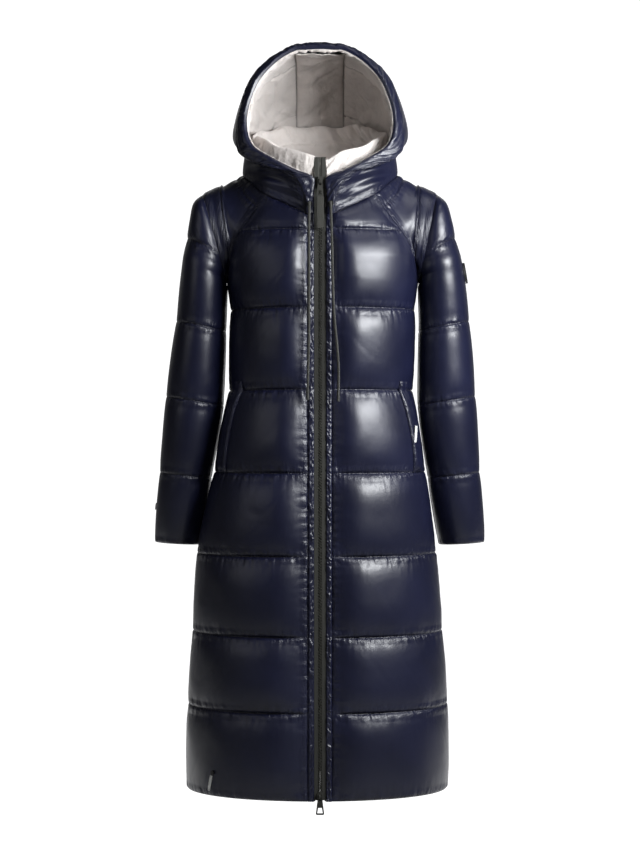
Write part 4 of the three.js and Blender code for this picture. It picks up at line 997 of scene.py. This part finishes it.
def sewn_tag(name, node, size, turn, surface, material, proud=0.9):
    """A small woven tag on a surface, where its plain solid lies."""
    low, high = (np.array(corner) * 1000 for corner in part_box(node))
    middle = (low + high) / 2
    outer, out = surfaces[surface][:2]
    flat_outer, flat_out = outer.reshape(-1, 3), out.reshape(-1, 3)
    nearest = int(np.argmin(np.sum((flat_outer - middle) ** 2, axis=1)))
    way = unit(flat_out[nearest])
    over = unit(np.cross((0, 0, 1.0), way))
    up = np.cross(way, over)
    c, s = math.cos(turn), math.sin(turn)
    over, up = over * c + up * s, up * c - over * s
    a = np.linspace(-0.5, 0.5, 9)[None, :, None] * size[0]
    b = np.linspace(-0.5, 0.5, 25)[:, None, None] * size[1]
    base = middle + way * np.dot(flat_outer[nearest] - middle, way) + a * over + b * up
    bow = 0.5 * np.cos(math.pi * b[..., 0] / size[1]) + 0.15 * np.cos(3 * a[..., 0])
    lift = proud + bow + 0 * a[..., 0]
    flat = np.stack([a[..., 0] + 0 * b[..., 0], b[..., 0] + 0 * a[..., 0]], -1)
    ways = np.broadcast_to(way, base.shape)
    blocks = panel_blocks(base, ways, lift, -proud + 0.5, flat, FAR)
    dress(make_mesh(name, blocks), material, replaces=[node])


# Drawcords

def cord(form, points, name):
    knots = np.array(points, float)
    line = spline_weights(len(knots), 260) @ knots
    steps = np.linalg.norm(np.diff(line, axis=0), axis=1)
    run = np.concatenate([[0], np.cumsum(steps)])
    along = unit(np.gradient(line, axis=0))
    over = unit(np.cross(along, (0, 1.0, 0)))
    up = np.cross(over, along)
    angle = np.linspace(0, 2 * math.pi, 17)
    weave = np.sin(4 * angle[None] + run[:, None] * 1.9) * np.sin(4 * angle[None] - run[:, None] * 1.9)
    radius = (form.cord * 500 + 0.16 * weave)[..., None]
    ring = over[:, None] * np.cos(angle)[None, :, None] + up[:, None] * np.sin(angle)[None, :, None]
    tube = line[:, None] + ring * radius
    flat = np.stack([angle[None] * 2.5 + 0 * run[:, None], run[:, None] + 0 * angle[None]], -1)
    obj = dress(make_mesh(f"cord_{name}", [(tube, flat, FAR, True)]), "cord_braid",
                replaces=[f"drawcord_{name}"])
    line[0] / 1000
    line / 1000


# Finishes

class Signal:
    """A number that varies over a surface, used with Python's operators."""

    def __init__(self, finish, socket):
        self.finish = finish
        self.socket = socket

    def math(self, operation, *values):
        return self.finish.add("ShaderNodeMath", {"operation": operation}, dict(enumerate(values)))

    def __add__(self, other):
        return self.math("ADD", self, other)

    def __radd__(self, other):
        return self.math("ADD", other, self)

    def __sub__(self, other):
        return self.math("SUBTRACT", self, other)

    def __rsub__(self, other):
        return self.math("SUBTRACT", other, self)

    def __mul__(self, other):
        return self.math("MULTIPLY", self, other)

    def __rmul__(self, other):
        return self.math("MULTIPLY", other, self)

    def __abs__(self):
        return self.math("ABSOLUTE", self)

    def sine(self):
        return self.math("SINE", self)

    def smooth(self, low, high):
        return self.finish.add(
            "ShaderNodeMapRange", {"interpolation_type": "SMOOTHSTEP"},
            {"Value": self, "From Min": low, "From Max": high, "To Min": 0.0, "To Max": 1.0})


class Finish:
    """A material under construction, with one method that adds any node."""

    def __init__(self, name):
        self.material = bpy.data.materials.new(name)
        self.material.use_nodes = True
        self.nodes = self.material.node_tree.nodes
        self.links = self.material.node_tree.links
        self.nodes.clear()
        self.end = self.nodes.new("ShaderNodeOutputMaterial")

    def add(self, kind, settings=None, sockets=None, output=0):
        node = self.nodes.new(kind)
        for key, value in (settings or {}).items():
            setattr(node, key, value)
        for key, value in (sockets or {}).items():
            socket = node.inputs[key]
            if isinstance(value, Signal):
                self.links.new(value.socket, socket)
            else:
                socket.default_value = value
        return Signal(self, node.outputs[output])

    def place(self):
        """Flat place on the cloth in millimetres."""
        flat = self.add("ShaderNodeUVMap", {"uv_map": "flat"})
        sized = self.add("ShaderNodeVectorMath", {"operation": "SCALE"}, {0: flat, "Scale": 1000.0})
        x = self.add("ShaderNodeSeparateXYZ", sockets={0: sized}, output=0)
        y = self.add("ShaderNodeSeparateXYZ", sockets={0: sized}, output=1)
        return x, y

    def grain(self, vector, scale, detail=2.0, rough=0.5):
        return self.add("ShaderNodeTexNoise", {"noise_dimensions": "3D"},
                        {"Vector": vector, "Scale": scale, "Detail": detail, "Roughness": rough})

    def vector(self, x, y):
        return self.add("ShaderNodeCombineXYZ", sockets={0: x, 1: y})

    def tint(self, factor, one, two):
        return self.add("ShaderNodeMix", {"data_type": "RGBA"}, {0: factor, 6: one, 7: two}, output=2)

    def bump(self, height, distance, strength=1.0):
        sockets = {"Height": height, "Distance": distance, "Strength": strength}
        return self.add("ShaderNodeBump", sockets=sockets)

    def close(self, **sockets):
        values = {key.replace("_", " "): value for key, value in sockets.items()}
        shader = self.add("ShaderNodeBsdfPrincipled", sockets=values)
        self.links.new(shader.socket, self.end.inputs["Surface"])


def rgb(color, gain=1.0):
    return (color[0] * gain, color[1] * gain, color[2] * gain, 1.0)


def shell_finish(look):
    """Glossy downproof nylon: fine weave, small crumples, stitches along the seams."""
    f = Finish("shell_nylon")
    x, y = f.place()
    seam = f.add("ShaderNodeAttribute", {"attribute_name": "seam"}, output=2) * 1000.0
    where = f.add("ShaderNodeTexCoord", output=3)
    cloudy = f.grain(where, 9.0, 3.0)
    crumple = f.grain(where, 46.0, 2.0, 0.45)
    down = f.grain(f.vector(x * 0.16, y * 0.045), 1.0, 3.0, 0.55)
    across = f.grain(f.vector(x * 0.045, y * 0.16), 1.0, 3.0, 0.55)
    weave = (x * 9.0).sine() * (y * 9.0).sine()
    stitch = ((x + y) * 2.1).sine().smooth(-0.2, 0.5) * (1.0 - seam.smooth(0.6, 1.6))
    color = f.tint(cloudy.smooth(0.35, 0.7), rgb(look.shell, 0.86), rgb(look.shell, 1.16))
    color = f.tint(stitch * 0.4, color, (0.008, 0.008, 0.014, 1))
    near = 1.0 - seam.smooth(1.0, 16.0)
    folds = (down + across * 0.5) * near
    height = crumple * 0.2 + folds * 1.7 + weave * 0.006 - stitch * 0.3
    normal = f.bump(height, look.crumple, 1.0)
    rough = look.gloss + 0.08 * cloudy
    f.close(Base_Color=color, Roughness=rough, Normal=normal, Specular_IOR_Level=0.55,
            Coat_Weight=0.1, Coat_Roughness=0.22)


def satin_finish(look):
    f = Finish("lining_satin")
    x, y = f.place()
    where = f.add("ShaderNodeTexCoord", output=3)
    soft = f.grain(where, 14.0, 3.0)
    crease = f.grain(where, 42.0, 3.0, 0.55)
    thread = (x * 14.0).sine() * 0.5 + (y * 3.5).sine() * 0.5
    seam = f.add("ShaderNodeAttribute", {"attribute_name": "seam"}, output=2) * 1000.0
    color = f.tint(soft.smooth(0.3, 0.75), rgb(look.lining, 0.84), rgb(look.lining, 1.06))
    # Painted shade: the satin darkens to 0.4 of its colour within about 3.6 mm of each seam, where its
    # padded cells dip.
    color = f.tint(seam.smooth(0.2, 3.6), rgb(look.lining, 0.4), color)
    normal = f.bump(crease + thread * 0.02, 0.006, 1.0)
    f.close(Base_Color=color, Roughness=0.36 + 0.14 * soft, Normal=normal, Sheen_Weight=0.2,
            Sheen_Roughness=0.4, Specular_IOR_Level=0.5)


def woven_finish(name, color, rib_x, rib_y, deep, rough):
    f = Finish(name)
    x, y = f.place()
    where = f.add("ShaderNodeTexCoord", output=3)
    fuzz = f.grain(where, 900.0, 2.0)
    rib = (x * rib_x).sine() * (y * rib_y).sine()
    shade = f.tint(rib * 0.35 + 0.5 + fuzz * 0.2, rgb(color, 0.7), rgb(color, 1.35))
    f.close(Base_Color=shade, Roughness=rough + 0.1 * fuzz, Normal=f.bump(rib + fuzz * 0.6, deep, 0.8),
            Sheen_Weight=0.15, Sheen_Roughness=0.5)


def braid_finish(look):
    f = Finish("cord_braid")
    x, y = f.place()
    cross = (x * 1.6 + y * 1.9).sine() * (x * 1.6 - y * 1.9).sine()
    strand = ((x + y) * 9.0).sine()
    shade = f.tint(cross * 0.4 + 0.5, rgb(look.trim, 0.55), rgb(look.trim, 1.4))
    f.close(Base_Color=shade, Roughness=0.72 + 0.1 * strand,
            Normal=f.bump(cross + strand * 0.25, 0.0004, 0.9), Sheen_Weight=0.2)


def hard_finish(name, color, metallic, rough, scratch):
    f = Finish(name)
    where = f.add("ShaderNodeTexCoord", output=3)
    grain = f.grain(where, 260.0, 4.0, 0.6)
    wear = f.grain(where, 90.0, 3.0)
    shade = f.tint(wear.smooth(0.45, 0.75), rgb(color, 0.85), rgb(color, 1.35))
    f.close(Base_Color=shade, Metallic=metallic, Roughness=rough + 0.15 * grain,
            Normal=f.bump(grain, scratch, 0.6))


# Studio, in metres

CAMERA = {"place": (0, -3.9, -0.468), "lens": 86.7, "sensor": 36}
PAPER = {"half": 5.5, "low": -1.4, "front": -2.4, "bend": 4.6, "radius": 1.2, "high": 4.5}
# Name, place, aim, size, watts and tint of each light
LIGHTS = (
    ("key", (0.98, -0.92, 0.13), (0.05, 0, -0.16), (0.85, 0.42), 38, (0.96, 0.98, 1)),
    ("fill", (-2.4, -1.7, 0.5), (0, 0, -0.2), (1.6, 1.6), 6, (1, 1, 1)),
    ("over", (0.9, -0.7, 2.3), (0, 0, 0), (1.6, 0.9), 13, (1, 1, 1)),
    ("front", (0.4, -3.0, 1.6), (0, 0, 0.1), (0.8, 0.6), 5, (1, 1, 1)),
)


def paper_finish():
    """Pale paper that glows behind the coat and fades out towards its sides."""
    f = Finish("studio_paper")
    where = f.add("ShaderNodeTexCoord", output=3)
    shade = f.tint(f.grain(where, 2.0), (0.42, 0.42, 0.42, 1), (0.45, 0.45, 0.45, 1))
    across = f.add("ShaderNodeSeparateXYZ", sockets={0: where}, output=0)
    depth = f.add("ShaderNodeSeparateXYZ", sockets={0: where}, output=1)
    middle = 1.0 - abs(across).smooth(1.6, 2.1) * 0.9
    glow = f.tint(depth.smooth(0.0, 0.2) * middle, (0.02, 0.02, 0.02, 1), (1, 1, 1, 1))
    f.close(Base_Color=shade, Roughness=0.9, Emission_Color=glow, Emission_Strength=1.0)
    return f.material


def studio_paper():
    """The floor, which bends up behind the coat."""
    low, radius = PAPER["low"], PAPER["radius"]
    profile = [(PAPER["front"], low), (-0.3, low), (0.0, low), (0.3, low)]
    for turn in np.linspace(0, math.pi / 2, 12):
        profile.append((PAPER["bend"] + radius * math.sin(turn), low + radius * (1 - math.cos(turn))))
    profile.append((PAPER["bend"] + radius, PAPER["high"]))
    places = [(x, y, z) for y, z in profile for x in (-PAPER["half"], PAPER["half"])]
    faces = [(2 * n, 2 * n + 1, 2 * n + 3, 2 * n + 2) for n in range(len(profile) - 1)]
    mesh = bpy.data.meshes.new("studio")
    mesh.from_pydata(places, [], faces)
    mesh.shade_smooth()
    mesh.materials.append(paper_finish())
    paper = bpy.data.objects.new("studio", mesh)
    bpy.context.scene.collection.objects.link(paper)


def soft_light(name, place, aim, size, watts, tint):
    data = bpy.data.lights.new(name, "AREA")
    data.shape = "RECTANGLE"
    data.size, data.size_y = size
    data.energy = watts
    data.color = tint
    light = bpy.data.objects.new(name, data)
    light.location = place
    x, y, z = np.array(aim, float) - np.array(place, float)
    light.rotation_euler = (math.atan2(math.hypot(x, y), -z), 0, math.atan2(-x, y))
    bpy.context.scene.collection.objects.link(light)


# Settings

class CoatForm(bpy.types.PropertyGroup):
    """Sizes of the padding, the folds and the trims."""

    puff_front: FloatProperty(name="Front padding", description="How far the fronts' channels stand out",
                              default=0.023, unit="LENGTH")
    puff_back: FloatProperty(name="Back padding", description="How far the back's channels stand out",
                             default=0.017, unit="LENGTH")
    puff_side: FloatProperty(name="Side padding", description="How far channels stand out at the sides",
                             default=0.0045, unit="LENGTH")
    puff_sleeve: FloatProperty(name="Sleeve padding", description="Padding on the front of a sleeve",
                               default=0.011, unit="LENGTH")
    puff_sleeve_side: FloatProperty(name="Sleeve side padding", description="Padding on a sleeve's sides",
                                    default=0.003, unit="LENGTH")
    puff_shoulder: FloatProperty(name="Shoulder padding", description="Padding of the yokes",
                                 default=0.0024, unit="LENGTH")
    pucker: FloatProperty(name="Puckers", description="Depth of the small folds along each seam",
                          default=0.0017, unit="LENGTH")
    slack: FloatProperty(name="Slack", description="How strongly slack padding dents and creases",
                         default=0.6, subtype="FACTOR")
    gather: FloatProperty(name="Gathers", description="Depth of the gathers round the face",
                          default=0.0036, unit="LENGTH")
    tooth_pitch: FloatProperty(name="Tooth pitch", description="Distance between zip teeth",
                               default=0.00255, unit="LENGTH")
    cord: FloatProperty(name="Cord", description="Diameter of the drawcords", default=0.005, unit="LENGTH")


class CoatLook(bpy.types.PropertyGroup):
    """Colours and gloss of the cloth and the trims."""

    shell: FloatVectorProperty(name="Shell", description="Colour of the outer nylon", subtype="COLOR",
                               default=(0.0052, 0.0064, 0.0235))
    lining: FloatVectorProperty(name="Lining", description="Colour of the satin lining", subtype="COLOR",
                                default=(0.74, 0.685, 0.65))
    trim: FloatVectorProperty(name="Trim", description="Colour of the zip, strap and cords",
                              subtype="COLOR", default=(0.024, 0.024, 0.019))
    gloss: FloatProperty(name="Roughness", description="Roughness of the outer nylon", default=0.35,
                         subtype="FACTOR")
    crumple: FloatProperty(name="Crumple", description="Depth of the shell's finest crumples",
                           default=0.0016, unit="LENGTH")


# Operators

class PieceOperator:
    """What all operators of this coat share."""

    bl_options = {"REGISTER", "UNDO"}

    def execute(self, context):
        self.build(context.scene.coat_form, context.scene.coat_look)
        return {"FINISHED"}


class COAT_OT_finishes(PieceOperator, bpy.types.Operator):
    """Makes every material of the coat"""

    bl_idname = "coat.finishes"
    bl_label = "Finishes"

    def build(self, form, look):
        shell_finish(look)
        satin_finish(look)
        woven_finish("zip_tape", [c * 0.4 for c in look.trim], 5.0, 5.0, 0.0003, 0.72)
        woven_finish("strap_weave", look.trim, 3.2, 3.2, 0.0005, 0.66)
        woven_finish("label_weave", (0.72, 0.72, 0.7), 7.0, 7.0, 0.0002, 0.7)
        braid_finish(look)
        hard_finish("zip_plastic", look.trim, 0.0, 0.42, 0.0002)
        hard_finish("zip_metal", (0.045, 0.045, 0.04), 0.85, 0.33, 0.0001)
        hard_finish("black_metal", (0.012, 0.012, 0.012), 0.6, 0.35, 0.0001)
        hard_finish("badge_face", (0.012, 0.012, 0.013), 0.0, 0.38, 0.0002)
        hard_finish("cord_end", (0.018, 0.018, 0.016), 0.0, 0.45, 0.0002)


class COAT_OT_fronts(PieceOperator, bpy.types.Operator):
    """Makes both quilted fronts and their padded pocket welts"""

    bl_idname = "coat.fronts"
    bl_label = "Fronts and pockets"

    def build(self, form, look):
        for side, name in SIDES:
            front_panel(form, side, f"front_{name}")
            welt(side, name)


class COAT_OT_back(PieceOperator, bpy.types.Operator):
    """Makes the quilted back"""

    bl_idname = "coat.back"
    bl_label = "Back"

    def build(self, form, look):
        back_panel(form)


class COAT_OT_zip(PieceOperator, bpy.types.Operator):
    """Makes the plackets, tapes, teeth and the strap of the upper pull"""

    bl_idname = "coat.zip"
    bl_label = "Zip"

    def build(self, form, look):
        for side, name in SIDES:
            placket(side, name)
            zip_tape(side, name)
        zip_teeth(form)
        pull_strap()


class COAT_OT_shoulders(PieceOperator, bpy.types.Operator):
    """Makes the yokes and the armhole strips"""

    bl_idname = "coat.shoulders"
    bl_label = "Shoulders"

    def build(self, form, look):
        for side, name in SIDES:
            shoulder(form, side, name)


class COAT_OT_sleeves(PieceOperator, bpy.types.Operator):
    """Makes both sleeves"""

    bl_idname = "coat.sleeves"
    bl_label = "Sleeves"

    def build(self, form, look):
        for side, name in SIDES:
            sleeve(form, side, name)


class COAT_OT_hood(PieceOperator, bpy.types.Operator):
    """Makes the hood, its gathered band, its satin lining and the inner collar"""

    bl_idname = "coat.hood"
    bl_label = "Hood"

    def build(self, form, look):
        hood_shell(form)
        hood_casing(form)
        for side, name in SIDES:
            side_lining(side, name)
        centre_lining()
        casing_lining()
        collar()


class COAT_OT_trims(PieceOperator, bpy.types.Operator):
    """Makes the tags and gives the hard trims their finishes"""

    bl_idname = "coat.trims"
    bl_label = "Trims"

    def build(self, form, look):
        sewn_tag("label_pocket", "pocket_label", (7, 31), -0.12, "welt_left", "label_weave", 2.4)
        sewn_tag("tag_hem", "hem_tag", (5.5, 29), -0.22, "front_right", "label_weave", 3.0)
        sewn_tag("tag_cuff", "cuff_tag", (9, 13), 0.0, "sleeve_right", "label_weave", 2.4)
        finishes = {
            "top_slider": "zip_metal", "top_pull": "zip_metal", "bottom_slider": "zip_metal",
            "bottom_pull": "zip_metal", "hem_eyelet": "black_metal", "eyelet_left": "black_metal",
            "eyelet_right": "black_metal", "sleeve_badge": "badge_face", "cord_tip_left": "cord_end",
            "cord_tip_right": "cord_end",
        }
        for node, material in finishes.items():
            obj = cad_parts[node]
            obj.data.materials.clear()
            obj.data.materials.append(bpy.data.materials[material])


class COAT_OT_cords(PieceOperator, bpy.types.Operator):
    """Makes the two hanging drawcords"""

    bl_idname = "coat.cords"
    bl_label = "Drawcords"

    def build(self, form, look):
        cord(form, CORD_LEFT, "left")
        cord(form, CORD_RIGHT, "right")


class COAT_OT_camera(PieceOperator, bpy.types.Operator):
    """Places the camera level in front of the coat"""

    bl_idname = "coat.camera"
    bl_label = "Camera"

    def build(self, form, look):
        data = bpy.data.cameras.new("camera")
        data.sensor_fit = "VERTICAL"
        data.sensor_height = CAMERA["sensor"]
        data.lens = CAMERA["lens"]
        camera = bpy.data.objects.new("camera", data)
        camera.location = CAMERA["place"]
        camera.rotation_euler = (math.pi / 2, 0, 0)
        bpy.context.scene.collection.objects.link(camera)
        bpy.context.scene.camera = camera


class COAT_OT_studio(PieceOperator, bpy.types.Operator):
    """Makes the pale floor and backdrop and the soft lights"""

    bl_idname = "coat.studio"
    bl_label = "Studio"

    def build(self, form, look):
        studio_paper()
        for settings in LIGHTS:
            soft_light(*settings)
        world = bpy.data.worlds.new("sky")
        world.use_nodes = True
        sky = world.node_tree.nodes["Background"].inputs
        sky["Color"].default_value = (1, 1, 1, 1)
        sky["Strength"].default_value = 0.035
        bpy.context.scene.world = world
        bpy.context.scene.view_settings.view_transform = "Standard"


class COAT_PT_panel(bpy.types.Panel):
    """Lists the coat's settings and its pieces in the sidebar"""

    bl_label = "Long Puffer Coat"
    bl_idname = "COAT_PT_panel"
    bl_space_type = "VIEW_3D"
    bl_region_type = "UI"
    bl_category = "Coat"

    def draw(self, context):
        for group in (context.scene.coat_form, context.scene.coat_look):
            for name in group.__annotations__:
                self.layout.prop(group, name)
        for operator in OPERATORS:
            self.layout.operator(operator.bl_idname)


GROUPS = (CoatForm, CoatLook)
OPERATORS = (
    COAT_OT_camera, COAT_OT_finishes, COAT_OT_cords, COAT_OT_fronts, COAT_OT_back, COAT_OT_zip,
    COAT_OT_shoulders, COAT_OT_sleeves, COAT_OT_hood, COAT_OT_trims, COAT_OT_studio,
)


def register():
    for item in (*GROUPS, *OPERATORS, COAT_PT_panel):
        bpy.utils.register_class(item)
    bpy.types.Scene.coat_form = PointerProperty(type=CoatForm)
    bpy.types.Scene.coat_look = PointerProperty(type=CoatLook)


def unregister():
    del bpy.types.Scene.coat_look
    del bpy.types.Scene.coat_form
    for item in reversed((*GROUPS, *OPERATORS, COAT_PT_panel)):
        bpy.utils.unregister_class(item)


def main():
    register()
    for operator in OPERATORS:
        family, name = operator.bl_idname.split(".")
        getattr(getattr(bpy.ops, family), name)()


if __name__ == "__main__":
    main()
